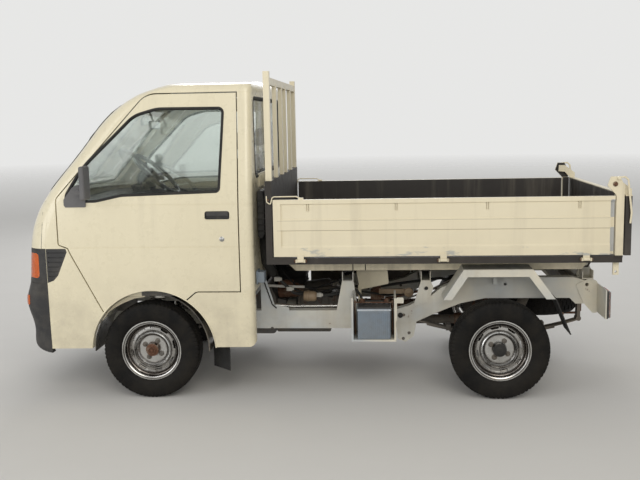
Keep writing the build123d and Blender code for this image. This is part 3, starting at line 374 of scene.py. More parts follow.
def cabUnderside(finish, colour):
    # The wheel houses and the floor from below are sprayed black, apart from the crescent ahead of the wheel
    mask = finish.within(highZ=0.598, sideHighY=0.6415)
    crescent = finish.within(lowX=0.955, highX=1.205, lowZ=0.435, highZ=0.600, sideLowY=0.480)
    mask = finish.times(mask, finish.without(crescent))
    return finish.tint(mask, colour, finish.tint(finish.cloud(9, 6), (0.014, 0.013, 0.012), (0.05, 0.045, 0.038)))


def handleRecess(finish, colour):
    mask = finish.within(lowX=0.4425, highX=0.5785, lowZ=0.996, highZ=1.0415, sideHighY=0.6898, sideLowY=0.66)
    return finish.tint(mask, colour, (0.012, 0.012, 0.012))


def wheelRings(finish, colour):
    # Tones by the distance from the nearer axle: bright lip and bowl in the base silver; painted dark reflection
    # and shade on the brown ring, in the groove, over the slots and at the bowl's edge; a dark middle
    across = finish.axis(0)
    axle = finish.maths("GREATER_THAN", across, 0.0)
    axle = finish.spread(axle, 0, 1, (rowShift + rearAxle) / 1000, rowShift / 1000)
    alongX = finish.maths("SUBTRACT", across, axle)
    alongZ = finish.maths("SUBTRACT", finish.axis(2), axleHigh / 1000)
    radius = finish.maths("SQRT", finish.maths("ADD", finish.times(alongX, alongX), finish.times(alongZ, alongZ)))
    wander = finish.maths("ADD", radius, finish.spread(finish.cloud(40, 4), 0.3, 0.7, -0.0025, 0.0025))
    # painted dark reflection and shade: the brown ring between the lip and the disc
    darkReflectionRing = finish.times(finish.spread(wander, 0.124, 0.132), finish.spread(wander, 0.1490, 0.1455))
    colour = finish.tint(finish.times(darkReflectionRing, 0.9), colour, (0.045, 0.034, 0.027))
    # painted shade in the groove between the two bright lips
    groove = finish.times(finish.spread(radius, 0.1535, 0.1550), finish.spread(radius, 0.1605, 0.1590))
    colour = finish.tint(finish.times(groove, 0.9), colour, (0.030, 0.026, 0.022))
    # painted dark reflection over the slot ring
    slots = finish.times(finish.spread(wander, 0.098, 0.106), finish.spread(wander, 0.132, 0.126))
    colour = finish.tint(finish.times(slots, 0.45), colour, (0.16, 0.145, 0.125))
    # painted shade between the bowl and the ring around it
    outer = finish.times(finish.spread(wander, 0.072, 0.076), finish.spread(wander, 0.090, 0.084))
    colour = finish.tint(finish.times(outer, 0.55), colour, (0.10, 0.085, 0.07))
    middle = finish.spread(wander, 0.044, 0.036)
    rear = finish.maths("LESS_THAN", across, 0.0)
    centre = finish.tint(rear, (0.09, 0.055, 0.035), (0.008, 0.009, 0.011))
    return finish.tint(finish.times(middle, 0.9), colour, centre)


def bedParts(finish, colour):
    # The floor's rails and top are black, its posts, ears and lugs are cream, and its stringers a lighter cream
    # that is painted sunlight
    cream = finish.tint(finish.cloud(5, 5), gateLook["colour"], gateLook["darker"])
    stringer = finish.within(highZ=0.748, sideHighY=0.465, sideLowY=0.400)
    post = finish.within(highX=-1.566, lowZ=0.788, sideLowY=0.640)
    ear = finish.within(highX=-1.515, lowZ=1.094, sideLowY=0.640)
    lug = finish.within(sideLowY=0.6905, lowX=-1.56)
    hook = finish.within(highX=-1.560, highZ=0.749, sideLowY=0.640)
    inward = finish.maths("LESS_THAN", finish.times(finish.axis(1, finish.facing),
                                                finish.maths("SIGN", finish.axis(1))), -0.5)
    painted = finish.times(finish.larger(post, ear), finish.without(inward))
    mask = finish.larger(finish.larger(painted, lug), hook)
    colour = finish.tint(mask, colour, cream)
    # painted light: the stringers get a brighter cream than the gates, as if lit by a low sun
    return finish.tint(stringer, colour, finish.tint(finish.cloud(5, 5), (0.90, 0.82, 0.62), (0.80, 0.72, 0.54)))


def gateInside(sign):
    def paint(finish, colour):
        inward = finish.maths("LESS_THAN", finish.times(finish.axis(1, finish.facing), sign), -0.5)
        black = finish.tint(finish.cloud(4, 6), bedLook["colour"], bedLook["darker"])
        colour = finish.tint(inward, colour, black)
        # blue-grey streaky patches on the outer face of the flared bottom band
        band = finish.within(highZ=0.842, lowZ=0.79)
        blueGreyBandPatch = finish.spread(finish.cloud(6.5, 5, 0.6, finish.stretch((1, 1, 3.2))), 0.56, 0.64, 0, 0.75)
        outward = finish.without(inward)
        blueGreyBandPatch = finish.times(blueGreyBandPatch, finish.times(band, outward))
        colour = finish.tint(blueGreyBandPatch, colour, (0.33, 0.36, 0.37))
        # painted shade along the two creases, and painted shade in the recess beside the rear post
        lines = finish.larger(finish.within(lowX=-1.538, highX=0.19, lowZ=0.9829, highZ=0.9853),
                           finish.within(lowX=-1.538, highX=0.19, lowZ=0.9309, highZ=0.9333))
        recess = finish.within(lowX=-1.5665, highX=-1.5405, lowZ=0.808, highZ=1.080)
        recess = finish.times(recess, finish.without(finish.within(lowZ=0.935, highZ=0.987)))
        colour = finish.tint(finish.times(outward, finish.times(lines, 0.6)), colour, (0.30, 0.27, 0.21))
        return finish.tint(finish.times(outward, finish.times(recess, 0.8)), colour, (0.33, 0.36, 0.40))
    return paint


def tailInside(finish, colour):
    black = finish.tint(finish.cloud(4, 6), bedLook["colour"], bedLook["darker"])
    inward = finish.maths("GREATER_THAN", finish.axis(0, finish.facing), 0.5)
    edge = finish.maths("GREATER_THAN", finish.maths("ABSOLUTE", finish.axis(1, finish.facing)), 0.5)
    below = finish.within(highZ=1.095)
    return finish.tint(finish.times(below, finish.larger(inward, edge)), colour, black)


def makeGlass(name, colour, rough=0.02):
    finish = Finish(name)
    smear = finish.spread(finish.cloud(5, 6, 0.6), 0.35, 0.8, rough, rough + 0.09)
    tone = finish.tint(finish.spread(finish.cloud(2.2, 4), 0.3, 0.8), colour, [c * 0.94 for c in colour])
    finish.put(colour=tone, rough=smear, through=1.0, ior=1.45, alpha=0.38)  # the rest lets daylight into the cab
    finish.relief(finish.cloud(3.0, 2), 0.03, 0.001)
    return finish.material


def makeLens(name, colour, flutes, level, through=0.55):
    finish = Finish(name)
    wave = finish.tree.nodes.new("ShaderNodeTexWave")
    wave.inputs["Scale"].default_value = flutes
    wave.bands_direction = "Y"
    finish.feed(finish.place, wave.inputs["Vector"])
    tone = finish.tint(finish.spread(finish.cloud(30, 3), 0.3, 0.7), colour, [c * 0.82 for c in colour])
    rough = finish.spread(finish.cloud(40, 3), 0.3, 0.8, level, level + 0.12)
    finish.put(colour=tone, rough=rough, through=through, coat=0.5, coatRough=0.05)
    finish.relief(wave.outputs["Fac"], 0.5, 0.002)
    return finish.material


def makeVinyl(name, colour, weave):
    finish = Finish(name)
    threads = finish.cloud(weave, 2, 0.5)
    checks = finish.tree.nodes.new("ShaderNodeTexVoronoi")
    checks.inputs["Scale"].default_value = weave * 0.8
    finish.feed(finish.place, checks.inputs["Vector"])
    tone = finish.tint(finish.spread(finish.cloud(9, 5), 0.3, 0.75), colour, [c * 1.45 for c in colour])
    dark = finish.spread(checks.outputs["Distance"], 0.0, 0.5, 0.0, 0.45)
    tone = finish.tint(dark, tone, [c * 0.5 for c in colour])
    rough = finish.spread(finish.cloud(14, 4), 0.3, 0.8, 0.62, 0.84)
    finish.put(colour=tone, rough=rough, sheen=0.12, sheenRough=0.5)
    finish.relief(finish.maths("ADD", checks.outputs["Distance"], threads), 0.5, 0.0008)
    return finish.material


paint = {
    "body": weathered("creamBody", bodyLook),
    "cab": weathered("creamCab", bodyLook, cabUnderside),
    "gateLeft": weathered("creamGateLeft", gateLook, gateInside(1)),
    "gateRight": weathered("creamGateRight", gateLook, gateInside(-1)),
    "tail": weathered("creamTailgate", gateLook, tailInside),
    "gate": weathered("creamGate", gateLook),
    "rail": weathered("creamRailShadeBlue", railShadeBlueLook),
    "bed": weathered("blackBed", bedLook, bedParts),
    "black": weathered("blackSheet", bedLook),
    "under": weathered("underside", underLook),
    "wheel": weathered("silverWheel", wheelLook, wheelRings),
    "iron": weathered("greyIron", ironLook),
    "rusty": weathered("rustySteel", rustyLook),
    "rod": weathered("brightRod", rodLook),
    "trim": moulded("blackTrim", trimLook),
    "rubber": moulded("windowRubber", rubberLook),
    "tyre": moulded("tyreRubber", tyreLook),
    "dash": moulded("dashGrey", dashLook),
    "shadeBlueCase": moulded("batteryCaseShadeBlue", batteryShadeBlueLook),
    "pale": moulded("paleMoulding", paleLook),
    "shadeBlueRim": moulded("paleRimShadeBlue", paleRimShadeBlueLook),
    "tape": moulded("wireTape", tapeLook),
    "brownIron": moulded("brownIron", brownIronLook),
    "mirror": weathered("lampMirror", mirrorLook),
    "plate": weathered("blankPlate", plateLook),
    "door": weathered("creamDoor", bodyLook, handleRecess),
    "glass": makeGlass("cabGlass", (0.66, 0.79, 0.71)),
    "clear": makeLens("clearLens", (0.88, 0.89, 0.88), 24, 0.05, 0.9),
    "amber": makeLens("amberLens", (0.85, 0.16, 0.01), 30, 0.12, 0.35),
    "red": makeLens("redLens", (0.55, 0.012, 0.01), 30, 0.12, 0.3),
    "seat": makeVinyl("seatCloth", (0.075, 0.077, 0.082), 420),
    "seatSide": makeVinyl("seatSide", (0.035, 0.035, 0.038), 700),
}
nodePaint = {
    "cab_shell": "cab", "bumper": "trim", "lamp_band": "trim", "front_panel": "body", "head_lamps": "clear",
    "corner_lamps": "amber", "side_vents": "trim", "cab_glass": "glass", "door_left": "door", "door_right": "door",
    "door_glass_left": "glass", "door_glass_right": "glass", "door_mirror_left": "dash",
    "door_mirror_right": "dash", "seats": "seat", "dash": "dash", "steering_wheel": "trim",
    "rim_front_left": "wheel", "rim_front_right": "wheel", "rim_rear_left": "wheel", "rim_rear_right": "wheel",
    "tyre_front_left": "tyre", "tyre_front_right": "tyre", "tyre_rear_left": "tyre", "tyre_rear_right": "tyre",
    "knuckle_left": "under", "knuckle_right": "under", "suspension": "under", "frame": "rail",
    "subframe": "rail", "rear_axle": "under", "engine": "iron", "exhaust": "rusty", "fuel_tank": "under",
    "hydraulic_tank": "gate",
    "battery_box": "shadeBlueCase", "wheel_covers": "rail", "tail_lamps": "rail", "mud_flaps": "rubber",
    "bed_floor": "bed", "bed_front_wall": "black", "guard_frame": "gate", "gate_left": "gateLeft",
    "gate_right": "gateRight", "tailgate": "tail", "lift_cylinder": "under", "lift_rod": "rod",
}
for nodeName, node in nodes.items():
    node.data.materials.clear()
    node.data.materials.append(paint[nodePaint.get(nodeName, "under")])
print("stage: finishes on the frame's nodes")


def ringFaces(rows, size, closed=False):
    # Faces between rings of that size that lie row after row
    faces = []
    for i in range(rows if closed else rows - 1):
        j = (i + 1) % rows
        for k in range(size):
            m = (k + 1) % size
            faces.append((i * size + k, i * size + m, j * size + m, j * size + k))
    return faces


# Shapes: one gatherer of vertices and faces for each piece
class Shape:
    def __init__(self):
        self.points = []
        self.faces = []

    def add(self, points, faces):
        start = len(self.points)
        self.points.extend([Vector(p) for p in points])
        self.faces.extend([[start + i for i in face] for face in faces])
        return self

    def block(self, x0, x1, y0, y1, z0, z1):
        corners = [spot(x, y, z) for x in (min(x0, x1), max(x0, x1)) for y in (min(y0, y1), max(y0, y1))
                   for z in (min(z0, z1), max(z0, z1))]
        return self.add(corners, boxFaces)

    def plate(self, outline, axis, low, high):
        # An outline in the two other axes, carried along X, Y or Z, all in truck millimetres
        count = len(outline)
        area = sum(a[0] * b[1] - b[0] * a[1] for a, b in zip(outline, outline[1:] + outline[:1]))
        line = outline if area > 0 else outline[::-1]
        place = {
            "X": lambda p, d: spot(d, p[0], p[1]), "Y": lambda p, d: spot(p[0], d, p[1]),
            "Z": lambda p, d: spot(p[0], p[1], d),
        }[axis]
        ring = [place(p, low) for p in line] + [place(p, high) for p in line]
        faces = [list(range(count))[::-1], list(range(count, 2 * count))]
        faces += [(i, (i + 1) % count, count + (i + 1) % count, count + i) for i in range(count)]
        if axis == "Y":
            faces = [list(face)[::-1] for face in faces]
        return self.add(ring, faces)

    def turn(self, profile, middle, axis, steps=48, closed=False):
        # A profile of (radius, along) millimetres turned round an axis through a row place
        along = Vector(axis).normalized()
        side = along.orthogonal().normalized()
        other = along.cross(side)
        rings = []
        for radius, height in profile:
            for i in range(steps):
                angle = 2 * math.pi * i / steps
                out = side * math.cos(angle) + other * math.sin(angle)
                rings.append(Vector(middle) + (out * radius + along * height) / 1000)
        return self.add(rings, ringFaces(len(profile), steps, closed))

    def tube(self, path, radius, steps=12, closed=False):
        # Row places joined by a round tube, its frame carried along without twist
        places = [Vector(p) for p in path]
        count = len(places)
        rings = []
        side = None
        for i, place in enumerate(places):
            before = places[i - 1] if i or closed else places[0]
            after = places[(i + 1) % count] if i < count - 1 or closed else places[-1]
            along = (after - before).normalized()
            side = along.orthogonal() if side is None else side - along * side.dot(along)
            side.normalize()
            other = along.cross(side)
            for k in range(steps):
                angle = 2 * math.pi * k / steps
                rings.append(place + (side * math.cos(angle) + other * math.sin(angle)) * radius / 1000)
        faces = ringFaces(count, steps, closed)
        if not closed:
            faces.append(list(range(steps))[::-1])
            faces.append(list(range((count - 1) * steps, count * steps)))
        return self.add(rings, faces)

    def sweep(self, places, outs, profile, closed=False):
        # A section of (across, out) millimetres carried along places on a skin with their outward directions
        count = len(places)
        size = len(profile)
        rings = []
        for i in range(count):
            before = places[i - 1] if i or closed else places[0]
            after = places[(i + 1) % count] if i < count - 1 or closed else places[-1]
            along = (after - before).normalized()
            out = (outs[i] - along * outs[i].dot(along)).normalized()
            across = along.cross(out)
            rings += [places[i] + (across * a + out * b) / 1000 for a, b in profile]
        faces = [(a, d, c, b) for a, b, c, d in ringFaces(count, size, closed)]
        if not closed:
            faces.append(list(range(size)))
            faces.append(list(range((count - 1) * size, count * size))[::-1])
        return self.add(rings, faces)

    def piece(self, name, body, finish, slot, bevel=0.0, angle=35):
        mesh = bpy.data.meshes.new(name)
        mesh.from_pydata([tuple(p) for p in self.points], [], self.faces)
        work = bmesh.new()
        work.from_mesh(mesh)
        bmesh.ops.remove_doubles(work, verts=work.verts, dist=1e-6)
        bmesh.ops.recalc_face_normals(work, faces=work.faces)
        work.to_mesh(mesh)
        work.free()
        mesh.materials.append(paint[finish])
        obj = bpy.data.objects.new(name, mesh)
        scene.collection.objects.link(obj)
        for polygon in mesh.polygons:
            polygon.use_smooth = True
        mesh.set_sharp_from_angle(angle=math.radians(angle))
        if bevel:
            soft = obj.modifiers.new("softEdges", "BEVEL")
            soft.width = bevel / 1000
            soft.segments = 2
            soft.limit_method = "ANGLE"
            soft.angle_limit = math.radians(angle)
            soft.harden_normals = False
        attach(obj, body)
        return obj


def rounded(points, radius, step=0.0, closed=True):
    # Corner points with arcs of that radius, and the straight runs divided at about the step
    count = len(points)
    line = []
    for i, point in enumerate(points):
        here = Vector(point)
        if not closed and i in (0, count - 1):
            line.append(here)
            continue
        before = Vector(points[i - 1])
        after = Vector(points[(i + 1) % count])
        inDir = (before - here).normalized()
        outDir = (after - here).normalized()
        half = math.acos(max(-1, min(1, inDir.dot(outDir)))) / 2
        size = min(radius / max(math.tan(half), 0.05), (before - here).length * 0.45, (after - here).length * 0.45)
        if half > math.radians(86) or size < 0.5:
            line.append(here)
            continue
        for k in range(7):
            t = k / 6
            line.append(here + inDir * size * (1 - t) ** 2 + outDir * size * t ** 2)
    if not step:
        return line
    dense = []
    total = len(line)
    for i in range(total if closed else total - 1):
        start, end = line[i], line[(i + 1) % total]
        parts = max(1, math.ceil((end - start).length / step))
        dense += [start.lerp(end, k / parts) for k in range(parts)]
    if not closed:
        dense.append(line[-1])
    return dense


def surfaceOf(*names):
    points, faces = [], []
    for name in names:
        mesh = nodes[name].data
        start = len(points)
        points += [v.co.copy() for v in mesh.vertices]
        faces += [[start + i for i in polygon.vertices] for polygon in mesh.polygons]
    return BVHTree.FromPolygons(points, faces)


cabSkin = surfaceOf("cab_shell", "front_panel", "lamp_band", "bumper", "door_left", "door_right", "corner_lamps",
                    "head_lamps", "side_vents")
glassSkin = surfaceOf("cab_glass", "door_glass_left", "door_glass_right")
glassSunk = 0.0092  # how far the panes lie under the skin


def firstHit(start, toward, sign, axis):
    skin = cabSkin.ray_cast(start, toward)
    glass = glassSkin.ray_cast(start, toward)
    useGlass = glass[0] is not None and (skin[0] is None or glass[3] < skin[3])
    place, normal = (glass if useGlass else skin)[:2]
    if place is None:
        return None
    reach = {"Y": place.y * sign > 0.4, "X": (place.x - rowShift / 1000 + 0.3) * sign > 0.2, "Z": place.z > 1.5}
    if not reach[axis]:
        return None
    normal = normal if normal.dot(toward) < 0 else -normal
    return place + (normal * glassSunk if useGlass else Vector()), normal


gapSteps = ((0, 0), (9, 0), (-9, 0), (0, 9), (0, -9), (14, 14), (-14, 14), (14, -14), (-14, -14), (0, 25),
            (0, -25))


def onSkin(point, axis, sign=1, lift=0.0):
    # The outer skin's place and outward direction, looked for from outside along an axis; a gap borrows its side
    toward = {"Y": Vector((0, -sign, 0)), "X": Vector((-sign, 0, 0)), "Z": Vector((0, 0, -1))}[axis]
    for stepA, stepB in gapSteps:
        a, b = point[0] + stepA, point[1] + stepB
        start = {"Y": lambda: spot(a, sign * 900, b), "X": lambda: spot(sign * 900 - 100, a, b),
                 "Z": lambda: spot(a, b, 1900)}[axis]()
        hit = firstHit(start, toward, sign, axis)
        if hit:
            place, normal = hit
            shift = {"Y": (stepA, 0, stepB), "X": (0, stepA, stepB), "Z": (stepA, stepB, 0)}[axis]
            return place - Vector(shift) / 1000 + normal * lift / 1000, normal
    raise ValueError(f"no skin near {point} along {axis}")


def skinLine(points, axis, sign=1, lift=0.0):
    hits = [onSkin(point, axis, sign, lift=lift) for point in points]
    return [hit[0] for hit in hits], [hit[1] for hit in hits]


# Tyres with shoulder blocks and zigzag ribs: one mesh, turned a little differently on each wheel
tyreSize = {
    "radius": 267.6, "treadHalf": 58.0, "groove": 6.5, "ribPlace": 17.0, "ribSwing": 3.0, "ribWidth": 4.6,
    "blocks": 72, "blockStart": 38.0, "blockGap": 0.2, "notch": 3.6, "steps": 360, "shoulder": 240.0,
    "crown": 262.0, "crownDrop": 3.4, "crownStep": 1.933333, "turnEach": 0.09,
}
wheelPlaces = {
    "front_left": (0.0, 602.0, 1), "front_right": (0.0, -602.0, -1),
    "rear_left": (rearAxle, 602.0, 1), "rear_right": (rearAxle, -602.0, -1),
}


def tyreSection():
    side = [(49.2, 158.0), (51.8, 167.2), (58.0, 168.6), (62.5, 172.0), (66.4, 180.0), (68.6, 188.0),
            (69.6, 190.0), (70.2, 194.0), (71.4, 200.0), (72.1, 206.0), (72.4, 212.0), (72.3, 218.0),
            (72.0, 224.0), (71.9, 227.0), (71.0, 230.0), (70.3, 236.0), (69.4, 241.0), (67.0, 248.0),
            (64.5, 255.0), (61.5, 261.0)]
    crown = []
    across = tyreSize["treadHalf"]
    while across > -tyreSize["treadHalf"] - 0.1:
        share = abs(across) / tyreSize["treadHalf"]
        crown.append((across, tyreSize["radius"] - tyreSize["crownDrop"] * share ** 4))
        across -= tyreSize["crownStep"]
    far = [(-a, r) for a, r in reversed(side)]
    inside = [(-44.0, 160.0), (-20.0, 162.5), (0.0, 163.0), (20.0, 162.5), (44.0, 160.0)]
    return side + crown + far + inside


def treadDepth(across, radius, turn):
    if radius < tyreSize["shoulder"]:
        return 0.0
    depth = 0.0
    period = turn * tyreSize["blocks"] / (2 * math.pi)
    zigzag = abs((period * 0.5) % 1.0 - 0.5) * 4 - 1
    for rib in (-tyreSize["ribPlace"], tyreSize["ribPlace"]):
        away = abs(across - rib - tyreSize["ribSwing"] * zigzag)
        if away < tyreSize["ribWidth"] / 2 and radius > tyreSize["crown"]:
            depth = tyreSize["groove"]
    if abs(across) > tyreSize["blockStart"]:
        shift = 0.0 if across > 0 else 0.5
        if (period + shift) % 1.0 < tyreSize["blockGap"]:
            depth = max(depth, tyreSize["notch"] * min(1.0, (radius - tyreSize["shoulder"]) / 16))
    return depth


def makeTyreMesh():
    section = tyreSection()
    steps = tyreSize["steps"]
    points = []
    for i in range(steps):
        turn = 2 * math.pi * i / steps
        for across, radius in section:
            deep = treadDepth(across, radius, turn)
            pull = deep * (0.35 if radius < tyreSize["crown"] else 0.0)
            r = (radius - deep) / 1000
            shifted = across - math.copysign(pull, across)
            points.append((r * math.cos(turn), shifted / 1000, r * math.sin(turn)))
    mesh = bpy.data.meshes.new("tyreTread")
    mesh.from_pydata(points, [], ringFaces(steps, len(section), True))
    work = bmesh.new()
    work.from_mesh(mesh)
    bmesh.ops.recalc_face_normals(work, faces=work.faces)
    work.to_mesh(mesh)
    work.free()
    for polygon in mesh.polygons:
        polygon.use_smooth = True
    mesh.set_sharp_from_angle(angle=math.radians(38))
    mesh.materials.append(paint["tyre"])
    return mesh


tyreMesh = makeTyreMesh()
for corner, (axleX, middleY, sign) in wheelPlaces.items():
    turned = tyreMesh.copy()
    turned.transform(Matrix.Rotation(tyreSize["turnEach"] * len(corner), 4, "Y"))
    tyre = bpy.data.objects.new(f"tyre_{corner}_tread", turned)
    tyre.location = spot(axleX, middleY, axleHigh)
    scene.collection.objects.link(tyre)
    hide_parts(f"tyre_{corner}")
    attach(tyre, f"wheel_{corner}")

# Hub centres, nuts and valves
hubSize = {"nutCircle": 52.0, "nutReach": 10.4, "nutFrom": 21, "nutTo": 33, "seatRadius": 14.5, "firstNut": 60,
           "notchAt": 53.5, "valveCircle": 146.0, "valveFace": 26.0}


def hexNut(shape, middle, axis, radius, low, high, crown=2.0):
    along = Vector(axis).normalized()
    side = along.orthogonal().normalized()
    other = along.cross(side)
    rows = [(radius, low), (radius, high - crown), (radius * 0.84, high), (radius * 0.45, high)]
    points = []
    for reach, height in rows:
        for k in range(6):
            angle = math.pi * k / 3
            out = side * math.cos(angle) + other * math.sin(angle)
            points.append(Vector(middle) + (out * reach + along * height) / 1000)
    faces = ringFaces(len(rows), 6)
    faces.append(list(range(6))[::-1])
    faces.append([len(points) - 6 + k for k in range(6)])
    shape.add(points, faces)


for corner, (axleX, middleY, sign) in wheelPlaces.items():
    axis = (0, sign, 0)
    middle = spot(axleX, middleY, axleHigh)
    nuts = Shape()
    for k in range(4):
        angle = math.radians(-sign * hubSize["firstNut"] + 90 * k)
        around = Vector((math.cos(angle), 0, math.sin(angle))) * hubSize["nutCircle"] / 1000
        nuts.turn([(hubSize["seatRadius"], 18.8), (hubSize["seatRadius"], 20.6), (10.0, 23.2), (6, 23.2)],
                  middle + around, axis, 20)
        hexNut(nuts, middle + around, axis, hubSize["nutReach"], hubSize["nutFrom"], hubSize["nutTo"])
        nuts.turn([(4.6, 30), (4.6, 36.0), (3.6, 37.0), (0.2, 37.0)], middle + around, axis, 12)
    nuts.piece(f"wheelNuts_{corner}", f"wheel_{corner}", "iron", "wheel_steel", 0.35)
    hub = Shape()
    if corner.startswith("front"):
        hub.turn([(35, 41.6), (35, 43.4), (31, 44.2), (24.5, 44.4), (22.5, 46.5), (21.5, 52), (17, 53.5),
                  (16.5, 48), (0.2, 47.6)], middle, axis, 40)
        for k in range(6):
            angle = math.pi * k / 3
            outward = Vector((math.cos(angle), 0, math.sin(angle)))
            across = Vector((-math.sin(angle), 0, math.cos(angle)))
            base = middle + Vector(axis) * hubSize["notchAt"] / 1000
            hub.add([base + outward * a / 1000 + across * b / 1000 + Vector(axis) * c / 1000
                     for a in (15.0, 21.0) for b in (-4.2, 4.2) for c in (-2.0, 5.0)],
                    boxFaces)
        hub.turn([(7.5, 47), (7.5, 55.5), (6.0, 57), (0.2, 57)], middle, axis, 20)
        hub.piece(f"hubCentre_{corner}", f"wheel_{corner}", "rusty", "wheel_steel", 0.5)
    else:
        hub.turn([(36, 41.6), (36, 44.5), (33, 46.0), (25, 46.2), (24, 50.5), (21, 52.6), (8, 53.2), (0.2, 53.2)],
                 middle, axis, 40)
        hub.turn([(5, 53), (5, 57.5), (3.6, 58.5), (0.2, 58.5)], middle, axis, 6)
        hub.piece(f"hubCentre_{corner}", f"wheel_{corner}", "rubber", "wheel_steel", 0.5)
    valve = Shape()
    lean = Vector((0.0, sign * 0.86, -0.5)).normalized()
    foot = middle + Vector((0.0, sign * hubSize["valveFace"], hubSize["valveCircle"])) / 1000
    valve.turn([(5.0, -6), (4.6, 6), (3.1, 12), (3.0, 24), (3.8, 24.6), (3.8, 32), (3.0, 33), (0.2, 33)],
               foot, lean, 16)
    valve.piece(f"tyreValve_{corner}", f"wheel_{corner}", "rubber", "tyre_rubber", 0.2)
print("stage: wheels")

# Window rubbers: outlines on the door sides, the windscreen and the rear window
windowRubberSize = {"width": 12.0, "proud": 2.6, "reach": 18.0, "step": 20.0}
windowLines = {
    "side": ([(-415, 1141), (-442, 1588), (-80, 1591), (48, 1556), (330, 1287), (424, 1141), (430, 1096),
              (262, 1096), (120, 1126)], (24, 28, 240, 170, 500, 60, 20, 60, 120)),
    "screen": ([(-598, 1126), (598, 1126), (545, 1618), (-545, 1618)], (52,) * 4),
    "back": ([(-545, 1205), (545, 1205), (556, 1642), (-556, 1642)], (52,) * 4),
}


def roundedEach(points, radii, step):
    # A closed outline whose corners each have their own radius, in runs of about the step
    count = len(points)
    line = []
    for i, point in enumerate(points):
        here = Vector(point)
        inDir = (Vector(points[i - 1]) - here).normalized()
        outDir = (Vector(points[(i + 1) % count]) - here).normalized()
        half = math.acos(inDir.dot(outDir)) / 2
        reach = radii[i] / math.tan(half)
        middle = here + (inDir + outDir).normalized() * (radii[i] / math.sin(half))
        first, last = here + inDir * reach - middle, here + outDir * reach - middle
        parts = max(3, math.ceil((math.pi - 2 * half) * radii[i] / step * 2))
        swing = first.angle_signed(last)
        for k in range(parts + 1):
            line.append(middle + Matrix.Rotation(-swing * k / parts, 2) @ first)
    dense = []
    for start, end in zip(line, line[1:] + line[:1]):
        parts = max(1, math.ceil((end - start).length / step))
        dense += [start.lerp(end, k / parts) for k in range(parts)]
    return dense


def edgeOnSkin(line, axis, sign):
    # Each place is read from the skin a little outside the opening, then slid back along the skin
    area = sum(a.x * b.y - b.x * a.y for a, b in zip(line, line[1:] + line[:1]))
    places, outs = [], []
    for i, here in enumerate(line):
        along = (line[(i + 1) % len(line)] - line[i - 1]).normalized()
        away = Vector((along.y, -along.x)) * (1 if area > 0 else -1) * windowRubberSize["reach"]
        place, normal = onSkin((here.x + away.x, here.y + away.y), axis, sign)
        back = {"Y": Vector((-away.x, 0, -away.y)), "X": Vector((0, -away.x, -away.y))}[axis] / 1000
        deep = {"Y": Vector((0, 1, 0)), "X": Vector((1, 0, 0))}[axis]
        places.append(place + back - deep * back.dot(normal) / normal.dot(deep))
        outs.append(normal)
    soft = []
    for i in range(len(outs)):
        soft.append(sum((outs[(i + k) % len(outs)] for k in range(-3, 4)), Vector()).normalized())
    return places, soft


def windowRubber(name, key, axis, sign, body, scale=1.0):
    outline, radii = windowLines[key]
    places, outs = edgeOnSkin(roundedEach(outline, radii, windowRubberSize["step"]), axis, sign)
    middle = sum(places, Vector()) / len(places)
    if (places[1] - places[0]).cross(outs[0]).dot(middle - places[0]) < 0:
        places.reverse()
        outs.reverse()
    wide, proud = windowRubberSize["width"] * scale, windowRubberSize["proud"]
    section = [(-3.0, -1.0), (-3.0, proud * 0.6), (-1.0, proud), (wide * 0.4, proud), (wide * 0.8, 0.5),
               (wide, -4.0), (wide, -9.2), (2.0, -9.2), (2.0, -1.0)]
    Shape().sweep(places, outs, section, True).piece(name, body, "rubber", "black_trim", angle=50)


for sideName, sign in sides:
    windowRubber(f"windowRubber_{sideName}", "side", "Y", sign, f"door_{sideName}")
windowRubber("windscreenRubber", "screen", "X", 1, "chassis", 1.9)
windowRubber("rearWindowRubber", "back", "X", -1, "chassis", 1.5)
print("stage: window rubbers")

# Lamps, markers, locks, handles and arch lips on the cab's skin
def padOnSkin(shape, outline, radius, axis, sign, thick, sink=3.0, inset=1.5):
    # A raised pad that follows the skin under its outline
    line = rounded(outline, radius, 12)
    middle2d = sum(line, Vector((0, 0))) / len(line)
    rings = []
    for share, lift in ((0.0, -sink), (0.0, thick - inset), (inset, thick), (8.0, thick + 0.2)):
        ring = []
        for here in line:
            toward = (middle2d - here)
            moved = here + toward.normalized() * min(share, toward.length * 0.6)
            ring.append(onSkin((moved.x, moved.y), axis, sign, lift)[0])
        rings.append(ring)
    count = len(line)
    points = [p for ring in rings for p in ring] + [onSkin((middle2d.x, middle2d.y), axis, sign, thick + 0.3)[0]]
    faces = ringFaces(4, count)
    faces += [(3 * count + i, 3 * count + (i + 1) % count, 4 * count) for i in range(count)]
    faces.append(list(range(count))[::-1])
    shape.add(points, faces)


def skinTube(shape, points, axis, sign, radius, lift, step=25, closed=False):
    line = rounded(points, 8, step, closed)
    places, _ = skinLine(line, axis, sign, lift)
    shape.tube(places, radius, 10, closed)


lampSize = {"low": 694.0, "high": 816.0, "near": 302.0, "far": 546.0, "corner": 17, "centre": (424, 755),
            "bezel": 6.0, "bezelCorner": 20}
archSize = {"x": -22, "lip": 346.5, "lipTube": 4.0, "liner": 348, "linerAt": 618, "linerThick": 4}


